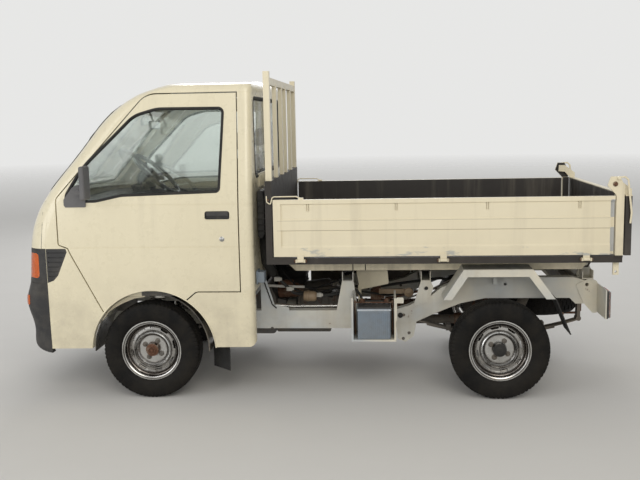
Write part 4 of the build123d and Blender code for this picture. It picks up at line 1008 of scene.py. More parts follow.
def makeHeadLamp(sign, name):
    ring = [(sign * lampSize["near"], lampSize["low"]), (sign * lampSize["far"], lampSize["low"]),
            (sign * lampSize["far"], lampSize["high"]), (sign * lampSize["near"], lampSize["high"])]
    lens = Shape()
    padOnSkin(lens, ring, lampSize["corner"], "X", 1, -0.6, sink=4.0)
    lensPiece = lens.piece(f"headLampLens_{name}", "chassis", "clear", "lamp_clear", angle=40)
    bowl = Shape()
    line = rounded(ring, lampSize["corner"], 14)
    centre = Vector((sign * lampSize["centre"][0], lampSize["centre"][1]))
    rows = []
    for share, deep in ((0.0, -5.0), (0.10, -9.0), (0.30, -15.0), (0.55, -19.5), (0.80, -22.5), (0.97, -23.0)):
        rows.append([onSkin(tuple(here.lerp(centre, share * 0.97)), "X", 1, deep)[0] for here in line])
    bowl.add([p for row in rows for p in row], ringFaces(len(rows), len(line)))
    bowlPiece = bowl.piece(f"headLampBowl_{name}", "chassis", "mirror", "lamp_clear", angle=60)
    bulb = Shape()
    seat, _ = onSkin((centre.x, centre.y), "X", 1, -22.0)
    bulb.turn([(0.2, 15), (5.5, 14), (8.5, 10), (9.0, 4), (9.0, -3), (0.2, -3)], seat, (1, 0, 0), 20)
    bulb.piece(f"headLampBulb_{name}", "chassis", "clear", "lamp_clear", angle=50)
    return [lensPiece, bowlPiece]


def archArc(radius, degrees):
    return [(archSize["x"] + radius * math.cos(math.radians(a)), axleHigh + radius * math.sin(math.radians(a)))
            for a in degrees]


lampPieces = makeHeadLamp(1, "left") + makeHeadLamp(-1, "right")
for lampPiece in lampPieces:
    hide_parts("head_lamps")

cabBits = {
    "marker": [(664, 533), (684, 533), (684, 587), (664, 587)], "markerThick": 4.5, "lock": (-422, 891),
    "handle": [(-458, 1015), (-341, 1015), (-341, 1037), (-347, 1041), (-452, 1041), (-458, 1037)],
    "handleFrom": 684.5, "handleTo": 690.0, "lip": [(-468, 1010), (-468, 995), (-330, 995), (-330, 1010)],
}
for name, sign in sides:
    marker = Shape()
    padOnSkin(marker, cabBits["marker"], 5, "Y", sign, cabBits["markerThick"])
    marker.piece(f"sideMarker_{name}", "chassis", "amber", "lamp_amber", 0.4)
    lockPlace, lockOut = onSkin(cabBits["lock"], "Y", sign, 0)
    lock = Shape().turn([(14, -2), (14, 1.4), (12.5, 2.4), (9.5, 2.4), (9.0, 0.8), (0.2, 0.8)],
                        lockPlace, lockOut, 28)
    lock.turn([(8.0, 0.5), (8.0, 2.2), (7.0, 2.8), (0.2, 2.8)], lockPlace, lockOut, 24)
    lock.piece(f"doorLock_{name}", f"door_{name}", "rod", "wheel_steel", 0.25)
    grip = Shape().plate(cabBits["handle"], "Y", sign * cabBits["handleFrom"], sign * cabBits["handleTo"])
    grip.piece(f"doorHandle_{name}", f"door_{name}", "trim", "black_trim", 1.6)
    lip = Shape()
    skinTube(lip, cabBits["lip"], "Y", sign, 2.4, 0.6, 20)
    lip.piece(f"handleLip_{name}", f"door_{name}", "body", "body_paint")
    arch = Shape()
    archLine = archArc(archSize["lip"], [4 + 172 * k / 60 for k in range(61)])
    for first, last in ((0, 16), (36, 60)):  # the door's edge lies between the two
        places, _ = skinLine(archLine[first:last + 1], "Y", sign, -1.0)
        arch.tube(places, archSize["lipTube"], 10)
    arch.piece(f"archLip_{name}", "chassis", "body", "body_paint")
print("stage: head lamps, markers, locks")

# Front: number plate, lamp band ribs, lamp bezels, wipers, washer jets and the service panel
plateSize = {"half": 165.0, "high": 165.0, "frontLow": 385.0, "rearLow": 412.0, "screwOut": 105}


def plateScrews(shape, x, z, toward):
    for y in (-plateSize["screwOut"], plateSize["screwOut"]):
        shape.turn([(7.5, 0), (7.5, 1.4), (6.0, 2.6), (2, 2.6), (2, 1.2), (0.2, 1.2)], spot(x, y, z),
                   (toward, 0, 0), 18)


front = Shape().block(731.5, 733.6, -plateSize["half"], plateSize["half"], plateSize["frontLow"],
                      plateSize["frontLow"] + plateSize["high"])
front.piece("numberPlateFront", "chassis", "plate", "wheel_steel", 0.7)
plateBits = Shape()
plateScrews(plateBits, 733.4, 528, 1)
plateBits.block(700, 731, -150, -130, 395, 540)
plateBits.block(700, 731, 130, 150, 395, 540)
plateBits.piece("numberPlateHolderFront", "chassis", "trim", "black_trim", 0.6)
bandSize = {"long": (668, 680, 828), "half": 270, "pitch": 30, "slat": 3.0,
            "slatHeights": (690, 720, 755, 790, 818)}
band = Shape()
for z in bandSize["long"]:
    places, _ = skinLine([(-285 + 570 * k / 24, z) for k in range(25)], "X", 1, 0.4)
    band.tube(places, 2.2, 8)
for y in range(-bandSize["half"], bandSize["half"] + 1, bandSize["pitch"]):
    places, _ = skinLine([(y, z) for z in bandSize["slatHeights"]], "X", 1, 0.2)
    band.tube(places, bandSize["slat"], 8)
band.piece("lampBandRibs", "chassis", "trim", "black_trim")
for name, sign in sides:
    out = lampSize["bezel"]
    low, high = lampSize["low"] - out, lampSize["high"] + out
    near, far = sign * (lampSize["near"] - out), sign * (lampSize["far"] + out)
    ring = rounded([(near, low), (far, low), (far, high), (near, high)], lampSize["bezelCorner"], 16)
    bezel = Shape().tube(skinLine(ring, "X", 1, 0.6)[0], 3.4, 10, True)
    bezel.piece(f"headLampBezel_{name}", "chassis", "trim", "black_trim")
wiperSize = {"bladeStart": (-60, 1150), "spineStart": (-70, 1152), "arm": 3.6, "rubber": 2.6, "spine": 3.0,
             "clips": (0.12, 0.38, 0.62, 0.88)}
wiperLines = {"near": ((470, 1112), (150, 1176), (-140, 1158)), "far": ((-90, 1112), (-380, 1172), (-560, 1150))}
for name, (pivot, blade, tip) in wiperLines.items():
    wiper = Shape()
    base, out = onSkin(pivot, "X", 1, 0)
    wiper.turn([(13, -2), (13, 6), (10, 12), (5, 14), (0.2, 14)], base, out, 20)
    arm, _ = skinLine([Vector(pivot).lerp(Vector(blade), k / 8) for k in range(9)], "X", 1, 15)
    arm[0] = base + out * 0.009
    wiper.tube(arm, wiperSize["arm"], 8)
    bladeStart = Vector((pivot[0], 0)) + Vector(wiperSize["bladeStart"])
    spineStart = Vector((pivot[0], 0)) + Vector(wiperSize["spineStart"])
    rubberLine, _ = skinLine([bladeStart.lerp(Vector(tip), k / 16) for k in range(17)], "X", 1, 3.5)
    wiper.tube(rubberLine, wiperSize["rubber"], 8)
    spine, _ = skinLine([spineStart.lerp(Vector(tip), k / 12) for k in range(1, 12)], "X", 1, 10)
    wiper.tube(spine, wiperSize["spine"], 6)
    for share in wiperSize["clips"]:
        low = onSkin(tuple(bladeStart.lerp(Vector(tip), share)), "X", 1, 3)[0]
        wiper.tube([low, low + Vector((0.004, 0, 0.007))], 3.4, 6)
    wiper.piece(f"wiper_{name}", "chassis", "trim", "black_trim")
washer = Shape()
for y in (-230, 230):
    place, out = onSkin((y, 1096), "X", 1, 0)
    washer.turn([(9, -2), (9, 3), (7, 7), (3, 8.5), (0.2, 8.5)], place, out, 16)
washer.piece("washerJets", "chassis", "trim", "black_trim", 0.4)
panel = Shape()
servicePanel = {"seam": [(-470, 872), (-470, 1012), (-430, 1050), (430, 1050), (470, 1012), (470, 872)],
                "corner": 24, "catchOut": 300, "catchHigh": 884}
places, _ = skinLine(rounded(servicePanel["seam"], servicePanel["corner"], 22, False), "X", 1, 0.15)
panel.tube(places, 1.5, 6)
panel.piece("servicePanelSeam", "chassis", "rubber", "black_trim")
catches = Shape()
for y in (-servicePanel["catchOut"], servicePanel["catchOut"]):
    place, out = onSkin((y, servicePanel["catchHigh"]), "X", 1, 0)
    catches.turn([(15, -2), (15, 1.5), (13, 3), (5, 3), (5, 1.4), (0.2, 1.4)], place, out, 24)
catches.piece("servicePanelCatches", "chassis", "trim", "black_trim", 0.4)
print("stage: front details")

# Seats: cushions, backs and headrests as padded soft goods over the frame's base
seatSize = {"voxel": 0.0085, "pressure": 4.0, "cap": 0.009, "frames": 20, "middle": 330.0, "piping": 3.2}


def swollen(obj, hold):
    # Cloth pressure swells the pad, capped near its own shape and held where it rests
    remesh = obj.modifiers.new("evenSkin", "REMESH")
    remesh.mode = "VOXEL"
    remesh.voxel_size = seatSize["voxel"]
    graph = bpy.context.evaluated_depsgraph_get()
    obj.data = bpy.data.meshes.new_from_object(obj.evaluated_get(graph))
    obj.modifiers.clear()
    start = [v.co.copy() for v in obj.data.vertices]
    held = obj.vertex_groups.new(name="held")
    for i, place in enumerate(start):
        if hold(place):
            held.add([i], 1.0, "REPLACE")
    cloth = obj.modifiers.new("padding", "CLOTH")
    cloth.settings.use_pressure = True
    cloth.settings.uniform_pressure_force = seatSize["pressure"]
    cloth.settings.effector_weights.gravity = 0
    cloth.settings.vertex_group_mass = "held"
    cloth.settings.quality = 4
    cloth.collision_settings.use_collision = False
    for step in range(1, seatSize["frames"] + 1):
        scene.frame_set(step)
    graph = bpy.context.evaluated_depsgraph_get()
    result = bpy.data.meshes.new_from_object(obj.evaluated_get(graph))
    obj.modifiers.clear()
    obj.data = result
    scene.frame_set(1)
    for vertex, before in zip(obj.data.vertices, start):
        move = vertex.co - before
        if move.length > seatSize["cap"]:
            vertex.co = before + move.normalized() * seatSize["cap"]


def pressSeams(obj, lines):
    # Sewn channels press the surface in along planes: place, direction, depth, width, and which vertices
    for vertex in obj.data.vertices:
        for place, across, depth, width, only in lines:
            away = abs((vertex.co - place).dot(across))
            if away < width and only(vertex):
                vertex.co -= vertex.normal * depth * (1 - (away / width) ** 2) ** 2


def padShape(outline, halfWide, radius):
    # Side outline in X, Z carried across, its edges softened before the swelling
    return Shape().plate(rounded(outline, radius), "Y", -halfWide, halfWide)


seatParts = {
    "cushion": ([(-68, 704), (-68, 795), (-112, 838), (-300, 828), (-462, 823), (-494, 704)], 228, 22),
    "back": ([(-392, 830), (-430, 1000), (-476, 1320), (-516, 1320), (-508, 1000), (-502, 830)], 213, 16),
    "head": ([(-466, 1352), (-484, 1468), (-516, 1468), (-511, 1352)], 114, 14),
}
seatSeams = {
    "cushion": [((-150, 0, 800), (1, 0, 0)), ((-410, 0, 800), (1, 0, 0)), ((-300, 165, 800), (0, 1, 0)),
                ((-300, -165, 800), (0, 1, 0))],
    "back": [((-450, 0, 900), (0, 0, 1)), ((-450, 0, 1270), (0, 0, 1)), ((-450, 150, 1100), (0, 1, 0)),
             ((-450, -150, 1100), (0, 1, 0))],
    "head": [((-490, 0, 1410), (0, 0, 1))],
}
seatPieces = []
for key, (outline, halfWide, radius) in seatParts.items():
    pad = padShape(outline, halfWide, radius).piece(f"seat_{key}_left", "chassis", "seat", "seat_vinyl")
    lowest = min(v.co.z for v in pad.data.vertices)
    swollen(pad, lambda place: place.z < lowest + 0.012 and key != "head")
    faceOut = (lambda v: v.normal.z > 0.35) if key == "cushion" else (lambda v: v.normal.x > 0.35)
    seams = [(spot(*place), Vector(across), 0.0065, 0.011, faceOut) for place, across in seatSeams[key]]
    pressSeams(pad, seams)
    for polygon in pad.data.polygons:
        polygon.use_smooth = True
    if not pad.data.materials:
        pad.data.materials.append(paint["seat"])
    finer = pad.modifiers.new("smoother", "SUBSURF")
    finer.levels = finer.render_levels = 1
    graph = bpy.context.evaluated_depsgraph_get()
    shown = bpy.data.meshes.new_from_object(pad.evaluated_get(graph))
    pad.modifiers.clear()
    pad.data = shown
    pad.location = (0, seatSize["middle"] / 1000, 0)
    other = bpy.data.objects.new(f"seat_{key}_right", shown)
    other.location = (0, -seatSize["middle"] / 1000, 0)
    scene.collection.objects.link(other)
    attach(other, "chassis")
    for piece in (pad, other):
        seatPieces.append(piece)
for sideName, middleY in (("left", 330), ("right", -330)):
    base = Shape()
    base.plate([(-92, 601), (-92, 690), (-110, 701), (-470, 701), (-482, 690), (-482, 601)], "Y", middleY - 198,
               middleY + 198)
    seatPieces.append(base.piece(f"seatBase_{sideName}", "chassis", "trim", "seat_vinyl", 5))
    posts = Shape()
    for y in (-53, 53):
        posts.tube([spot(-498, middleY + y, 1312), spot(-497, middleY + y, 1360)], 6.0, 14)
    seatPieces.append(posts.piece(f"headrestPosts_{sideName}", "chassis", "rod", "seat_vinyl"))
    runners = Shape()
    for y in (-150, 150):
        runners.block(-470, -100, middleY + y - 14, middleY + y + 14, 600.5, 614)
    runners.tube([spot(-70, middleY - 60, 690), spot(-58, middleY - 40, 690), spot(-58, middleY + 40, 690),
                  spot(-70, middleY + 60, 690), spot(-110, middleY + 60, 690)], 5.0, 10)
    runners.piece(f"seatRunners_{sideName}", "chassis", "iron", "seat_vinyl", 1.0)
    buckle = Shape()
    inner = middleY - math.copysign(246, middleY)
    buckle.block(-430, -400, inner - 11, inner + 11, 775, 850)
    buckle.block(-424, -406, inner - 4, inner + 4, 640, 780)
    buckle.piece(f"beltBuckle_{sideName}", "chassis", "trim", "black_trim", 2.0)
for piece in seatPieces:
    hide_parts("seats")
print("stage: seats")

# Cab inside: dials, vents, column, pedals, levers, mat, mirror, visors, door cards, cranks and belts
inside = {"dialRadius": 46, "dialMarks": 11, "visorFrom": 80, "visorWide": 360.0, "cardFrom": 642, "cardTo": 651,
          "seatBelt": 22, "matRibs": 26, "columnLean": 43}
dials = Shape().plate([(250, 1040), (300, 1044), (330, 1118), (316, 1124), (268, 1112)], "Y", -470, -190)
dials.piece("dialHood", "chassis", "trim", "dash_plastic", 4.0)
faceAxis = Vector((-0.94, 0, 0.34)).normalized()
clockFaces, clockRings, needles = Shape(), Shape(), Shape()
radius = inside["dialRadius"]
for y in (-392, -272):
    middle = spot(258, y, 1076) + faceAxis * 0.004
    clockFaces.turn([(radius, -4), (radius, 0.6), (0.2, 0.6)], middle, faceAxis, 40)
    clockRings.turn([(radius + 1, -4), (radius + 5, -2), (radius + 5, 4), (radius + 1, 5), (radius, 0)],
                    middle, faceAxis, 40, True)
    side = faceAxis.cross(Vector((0, 1, 0))).normalized()
    for k in range(inside["dialMarks"]):
        angle = math.radians(-130 + 26 * k)
        out = side * math.cos(angle) + Vector((0, 1, 0)) * math.sin(angle)
        needles.tube([middle + out * (radius - 12) / 1000 + faceAxis * 0.001,
                      middle + out * (radius - 5) / 1000 + faceAxis * 0.001], 0.9, 6)
    out = side * math.cos(-2.0) + Vector((0, 1, 0)) * math.sin(-2.0)
    needles.tube([middle + faceAxis * 0.002, middle + out * (radius - 14) / 1000 + faceAxis * 0.002], 1.3, 6)
clockFaces.piece("dialFaces", "chassis", "rubber", "dash_plastic")
clockRings.piece("dialRings", "chassis", "trim", "dash_plastic")
needles.piece("dialMarks", "chassis", "pale", "dash_plastic")
vents = Shape()
for y in (-520, -60, 60, 520):
    vents.block(292, 302, y - 52, y + 52, 968, 1024)
    for k in range(5):
        vents.block(287, 296, y - 46, y + 46, 974 + k * 10, 978 + k * 10)
vents.piece("dashVents", "chassis", "trim", "dash_plastic", 1.2)
console = Shape().block(284, 302, -88, 88, 904, 958)
for k in range(3):
    console.turn([(15, 0), (15, 9), (12, 14), (0.2, 14)], spot(284, -50 + 50 * k, 930), (-1, 0, 0), 20)
console.piece("heaterPanel", "chassis", "trim", "dash_plastic", 2.0)
glove = Shape().plate([(180, 908), (520, 908), (520, 962), (180, 962)], "X", 294, 301)
glove.piece("gloveLid", "chassis", "dash", "dash_plastic", 3.0)
columnLean = math.radians(inside["columnLean"])
columnAxis = Vector((-math.sin(columnLean), 0, math.cos(columnLean)))
wheelMiddle = spot(190, -330, 1180)
shroud = Shape().turn([(0.2, -250), (44, -250), (52, -160), (50, -66), (42, -58), (0.2, -58)],
                      wheelMiddle, columnAxis, 28)
for sign in (1, -1):
    start = wheelMiddle + columnAxis * -0.085
    shroud.tube([start + Vector((0, sign * 0.04, 0)), start + Vector((-0.015, sign * 0.12, 0.02)),
                 start + Vector((-0.02, sign * 0.165, 0.03))], 6.0, 10)
shroud.piece("columnShroud", "chassis", "trim", "dash_plastic")
horn = Shape().turn([(0.2, -6), (52, -6), (58, 2), (56, 9), (44, 14), (20, 16), (0.2, 16)],
                    wheelMiddle, columnAxis, 36)
horn.piece("hornPad", "steering_wheel", "trim", "black_trim")
pedals = Shape()
for y, wide in ((-230, 34), (-320, 44), (-415, 30)):
    pedals.block(262, 272, y - wide, y + wide, 664, 738)
    pedals.tube([spot(272, y, 700), spot(330, y, 760), spot(360, y, 900)], 7.0, 10)
pedals.piece("pedals", "chassis", "rubber", "black_trim", 2.0)
levers = Shape().tube([spot(40, -60, 600), spot(20, -60, 760), spot(-20, -60, 900)], 7.0, 12)
levers.turn([(0.2, 26), (14, 22), (20, 8), (20, -8), (14, -22), (7, -30)], spot(-24, -60, 918), (-0.2, 0, 1), 20)
levers.turn([(60, 0), (52, 8), (30, 40), (14, 60), (9, 62)], spot(40, -60, 600), (-0.1, 0, 1), 24)
levers.tube([spot(-60, 60, 604), spot(-120, 60, 700), spot(-250, 60, 740)], 9.0, 12)
levers.piece("floorLevers", "chassis", "trim", "dash_plastic")
tipLever = Shape().tube([spot(-140, -96, 604), spot(-150, -96, 690), spot(-185, -96, 770)], 6.0, 12)
tipLever.turn([(0.2, 16), (13, 12), (16, 0), (13, -12), (0.2, -16)], spot(-188, -96, 780), (0, 0, 1), 20)
tipLever.piece("tipLever", "chassis", "rusty", "black_trim")
mat = Shape().plate([(-85, -560), (300, -560), (300, 560), (-85, 560)], "Z", 600.6, 605)
for k in range(inside["matRibs"]):
    mat.tube([spot(-70 + k * 14, -545, 605.5), spot(-70 + k * 14, 545, 605.5)], 1.4, 6)
mat.piece("floorMat", "chassis", "rubber", "flap_rubber")
mirror = Shape().plate([(-108, 1474), (108, 1474), (108, 1524), (-108, 1524)], "X", 96, 112)
mirror.piece("insideMirror", "chassis", "trim", "black_trim", 6.0)
mirrorGlass = Shape().plate([(-98, 1481), (98, 1481), (98, 1517), (-98, 1517)], "X", 94.6, 96)
mirrorGlass.piece("insideMirrorGlass", "chassis", "mirror", "black_trim")
mirrorStem = Shape().tube([spot(106, 0, 1510), spot(124, 0, 1560), spot(140, 0, 1592)], 6, 10)
mirrorStem.piece("insideMirrorStem", "chassis", "trim", "black_trim")
for sideName, sign in sides:
    visor = Shape()
    visor.plate([(-10, 1622), (120, 1576), (124, 1584), (-6, 1632)], "Y", sign * inside["visorFrom"],
                sign * (inside["visorFrom"] + inside["visorWide"]))
    visor.piece(f"sunVisor_{sideName}", "chassis", "pale", "seat_vinyl", 3.0)
    card = Shape()
    cardLine = rounded(((-488, 640), (190, 640), (245, 705), (392, 862), (418, 1040), (402, 1062),
                                            (-488, 1062)), 22)
    card.plate(cardLine, "Y", sign * inside["cardFrom"], sign * inside["cardTo"])
    card.piece(f"doorCard_{sideName}", f"door_{sideName}", "dash", "dash_plastic", 3.0)
    rest = Shape()
    restLine = rounded(((-340, 868), (120, 850), (150, 880), (110, 905), (-300, 922), (-345, 905)), 14)
    rest.plate(restLine, "Y", sign * 596, sign * 644)
    rest.piece(f"armRest_{sideName}", f"door_{sideName}", "trim", "dash_plastic", 8.0)
    pocket = Shape()
    pocketLine = rounded(((-440, 662), (170, 662), (205, 712), (170, 768), (-440, 768)), 20)
    pocket.plate(pocketLine, "Y", sign * 622, sign * 643)
    pocket.piece(f"doorPocket_{sideName}", f"door_{sideName}", "trim", "dash_plastic", 6.0)
    crank = Shape()
    hub = spot(160, sign * 640, 960)
    crank.turn([(24, 0), (24, 5), (15, 12), (0.2, 12)], hub, (0, -sign, 0), 24)
    crank.tube([hub + Vector((0, -sign * 0.010, 0)), hub + Vector((-0.05, -sign * 0.020, 0.035)),
                hub + Vector((-0.105, -sign * 0.024, 0.07))], 6.5, 12)
    crank.turn([(0.2, 0), (10, 0), (12, 10), (11, 24), (0.2, 26)], hub + Vector((-0.105, -sign * 0.024, 0.07)),
               (0, -sign, 0), 18)
    crank.turn([(30, 0), (30, 5), (26, 8), (20, 8), (19, 4), (0.2, 4)], spot(255, sign * 641, 965),
               (0, -sign, 0), 24)
    crank.piece(f"windowCrank_{sideName}", f"door_{sideName}", "trim", "black_trim", 0.8)
    belt = Shape()
    beltLine = [spot(-540, sign * 592, 1480), spot(-528, sign * 600, 1300), spot(-520, sign * 604, 1000),
                spot(-505, sign * 588, 760), spot(-480, sign * 575, 660)]
    for start, end in zip(beltLine, beltLine[1:]):
        wide = Vector((inside["seatBelt"] / 1000, 0, 0))
        thin = Vector((0, -sign * 0.0015, 0))
        belt.add([start - wide, start + wide, end - wide, end + wide, start - wide + thin, start + wide + thin,
                  end - wide + thin, end + wide + thin],
                 boxFaces)
    belt.turn([(24, 0), (24, 12), (18, 16), (0.2, 16)], spot(-540, sign * 598, 1480), (0, -sign, 0), 24)
    belt.piece(f"seatBelt_{sideName}", "chassis", "trim", "seat_vinyl", 0.4)
print("stage: cab inside")

# Under the bed: casings, pipes and wires between the rails, then spring, axle and steering parts, spare wheel
def pipeRun(points, radius, bend=30.0, steps=10):
    line = rounded(points, bend, 0, False)
    return Shape().tube([spot(*p) for p in line], radius, steps)


def casing(x0, x1, y0, y1, z0, z1, ribs=0, across="X"):
    box = Shape().block(x0, x1, y0, y1, z0, z1)
    for k in range(ribs):
        share = (k + 0.5) / ribs
        if across == "X":
            x = x0 + (x1 - x0) * share
            box.block(x - 4, x + 4, y0 - 7, y1 + 7, z0 + 8, z1 + 6)
        else:
            z = z0 + (z1 - z0) * share
            box.block(min(x0, x1) - 6, max(x0, x1) + 6, y0 - 6, y1 + 6, z - 3.5, z + 3.5)
    return box


def boltHeads(shape, places, axis, size=8.0, high=6.0):
    for place in places:
        middle = spot(*place)
        shape.turn([(size * 1.5, -1), (size * 1.5, 1.2), (0.2, 1.2)], middle, axis, 18)
        hexNut(shape, middle, axis, size, 0.5, high)


casingSize = {  # x, y and z limits, then the number of ribs
    "gear": (-762, -1008, -150, 130, 344, 470, 6),
    "air": (-612, -782, -382, -190, 452, 640, 4),
    "tool": (-1312, -1470, -600, -474, 452, 612, 3),
}
gearLid = casing(*casingSize["gear"])
gearLid.turn([(0.2, 0), (62, 0), (70, 10), (70, 150), (58, 165), (0.2, 165)], spot(-800, -20, 455),
             (-1, 0, 0.12), 28)
boltHeads(gearLid, [(-775 - 44 * k, 137, 462) for k in range(6)], (0, 1, 0), 7)
gearLid.piece("gearCasing", "chassis", "iron", "engine_iron", 5.0)
starter = Shape().turn([(0.2, 0), (38, 0), (42, 8), (42, 120), (30, 128), (30, 150), (0.2, 150)],
                       spot(-650, 150, 500), (-1, 0, 0.05), 26)
starter.turn([(0.2, 0), (22, 0), (24, 6), (24, 90), (0.2, 96)], spot(-655, 190, 548), (-1, 0, 0.03), 20)
starter.piece("starterMotor", "chassis", "rusty", "engine_iron", 1.0)
air = casing(*casingSize["air"], "Z")
air.piece("airCleaner", "chassis", "trim", "black_trim", 14.0)
duct = Shape()
ductLine = rounded(((-620, -180, 590), (-640, -60, 610), (-660, 60, 590), (-640, 110, 540)), 60, 9, False)
for k, place in enumerate(ductLine[:-1]):
    ahead = Vector(spot(*ductLine[k + 1])) - Vector(spot(*place))
    swell = 30 if k % 2 else 25
    duct.turn([(swell - 4, 0), (swell, 3), (swell - 4, 9)], spot(*place), ahead, 18)
duct.piece("intakeDuct", "chassis", "rubber", "black_trim")
pump = Shape().turn([(0.2, 0), (30, 0), (34, 5), (34, 60), (26, 66), (26, 84), (0.2, 84)], spot(-1200, 120, 470),
                    (-1, 0, 0), 24)
pump.block(-1212, -1262, 90, 150, 500, 536)
boltHeads(pump, [(-1237, 151, 520), (-1222, 151, 508)], (0, 1, 0), 7)
pump.piece("liftPump", "chassis", "rusty", "engine_iron", 2.0)
bar = Shape().block(-1253, -1415, 288, 312, 511, 538)
boltHeads(bar, [(-1275, 312, 524), (-1392, 312, 524)], (0, 1, 0), 8)
bar.turn([(0.2, 0), (24, 0), (27, 4), (27, 26), (0.2, 30)], spot(-1424, 300, 520), (0, 1, 0), 22)
bar.piece("tippingValve", "chassis", "brownIron", "engine_iron", 2.5)
filterAt, filterAxis = spot(-821, 350, 509), (-1, 0, -0.04)
oilFilter = Shape().turn([(0.2, 0), (26, 0), (30, 6), (30, 58), (27, 68), (20, 74), (0.2, 74)],
                         filterAt, filterAxis, 28)
oilFilter.turn([(31.5, 18), (33, 20), (33, 30), (31.5, 32), (30, 25)], filterAt, filterAxis, 28, True)
oilFilter.piece("oilFilter", "chassis", "brownIron", "engine_iron", 0.6)
shield = Shape()
shieldLine = [(-345, 330), (-335, 345), (-310, 352), (-180, 352), (-158, 342), (-150, 326), (-153, 326),
              (-160, 339), (-181, 348.5), (-309, 348.5), (-333, 342), (-342, 330)]
shield.plate(shieldLine, "X", -1485, -930)
for k in range(8):
    shield.block(-960 - 65 * k, -974 - 65 * k, -318, -172, 351, 354)
boltHeads(shield, [(-950, -245, 352), (-1465, -245, 352)], (0, 0, 1), 7)
shield.piece("heatShield", "chassis", "rusty", "exhaust_steel", 0.6)
box = casing(*casingSize["tool"], "Z")
box.piece("toolBox", "chassis", "under", "chassis_paint", 7.0)
# a dark sheet on the far side under the bed, between the battery and the rear wheel, standing in for shade
shadeSheet = Shape().plate([(-1300, 440), (-1630, 520), (-1630, 655), (-1300, 655)], "Y", -466, -463)
shadeSheet.block(-1320, -1332, -463, -455, 470, 640)
shadeSheet.block(-1460, -1472, -463, -455, 500, 640)
shadeSheet.piece("shadeBlockSheet", "chassis", "under", "chassis_paint", 0.5)
# Pipes, hoses and taped wires: finish, radius, and the places each passes
underPipes = [
    ("pale", 8.0, [(-604, 300, 560), (-700, 302, 556), (-821, 300, 552)]),
    ("rubber", 7.0, [(-821, 300, 552), (-870, 290, 540), (-905, 260, 500), (-980, 240, 480)]),
    ("rod", 5.0, [(-600, 395, 470), (-760, 390, 456), (-1010, 388, 458), (-1120, 388, 462), (-1300, 386, 470)]),
    ("under", 4.0, [(-600, 384, 474), (-760, 378, 460), (-1010, 376, 462), (-1120, 376, 466),
     (-1300, 372, 474)]),
    ("under", 5.0, [(-1300, 386, 470), (-1420, 380, 500), (-1560, 384, 556), (-1700, 386, 628),
     (-2120, 388, 652)]),
    ("rubber", 8.5, [(-1262, 120, 520), (-1420, 110, 540), (-1620, 90, 560), (-1850, 80, 500),
     (-2140, 66, 452)]),
    ("rubber", 9.0, [(-1160, 300, 640), (-1080, 300, 640), (-1010, 240, 560), (-1190, 140, 510)]),
    ("tape", 9.5, [(-610, 330, 640), (-680, 322, 600), (-760, 318, 520), (-900, 320, 500), (-1040, 330, 520)]),
    ("tape", 6.0, [(-640, 280, 650), (-700, 270, 560), (-820, 240, 500), (-940, 200, 490)]),
    ("rubber", 5.0, [(-690, 200, 620), (-760, 210, 540), (-880, 180, 520), (-1000, 170, 560),
     (-1060, 170, 590)]),
    ("tape", 6.0, [(-900, 160, 490), (-1000, 180, 520), (-1160, 190, 500), (-1300, 200, 480),
     (-1460, 210, 500)]),
    ("under", 11.0, [(-650, 100, 470), (-820, 90, 500), (-1000, 60, 500), (-1100, 40, 430)]),
    ("rusty", 7.0, [(-1290, -200, 380), (-1340, -120, 400), (-1560, -90, 460), (-1860, -60, 470)]),
    ("rusty", 19.0, [(-1560, -225, 280), (-1640, -225, 300), (-1720, -225, 420), (-1900, -225, 440),
     (-2080, -225, 420), (-2380, -225, 380)]),
]
for number, (finish, radius, points) in enumerate(underPipes):
    pipeRun(points, radius, 40).piece(f"underPipe_{number}", "chassis", finish, "chassis_paint")
clipPlaces = (-660, -820, -980, -1150, -1280)
clips = Shape()
for x in clipPlaces:
    clips.block(x - 8, x + 8, 368, 400, 449, 453)
    clips.block(x - 8, x + 8, 372, 392, 453, 470)
boltHeads(clips, [(x, 396, 452) for x in clipPlaces], (0, 0, 1), 5, 5)
clips.piece("pipeClips", "chassis", "iron", "chassis_paint", 0.8)
plugs = Shape()
for x, y, z in ((-668, 331, 606), (-735, 312, 545), (-905, 330, 512)):
    plugs.block(x - 17, x + 17, y - 4, y + 18, z - 12, z + 12)
    plugs.block(x - 26, x - 17, y - 1, y + 14, z - 8, z + 8)
plugs.piece("wirePlugs", "chassis", "pale", "black_trim", 1.5)
# the relay box's blue-grey finish is painted shade
relay = Shape().block(-594, -636, 560, 634, 640, 700)
relay.block(-592, -600, 550, 644, 632, 708)
relay.piece("relayBox", "chassis", "shadeBlueCase", "battery_case", 4.0)
springSize = {"bolts": (-1868, -1932), "near": 400, "far": 460, "top": 346, "rod": 6,
              "straps": ((-1640, 330), (-2150, 345))}
bootSize = {"foot": (508.0, 395), "head": (480.5, 517), "rings": 15, "pitch": 8.4, "outer": 27, "inner": 22.5}
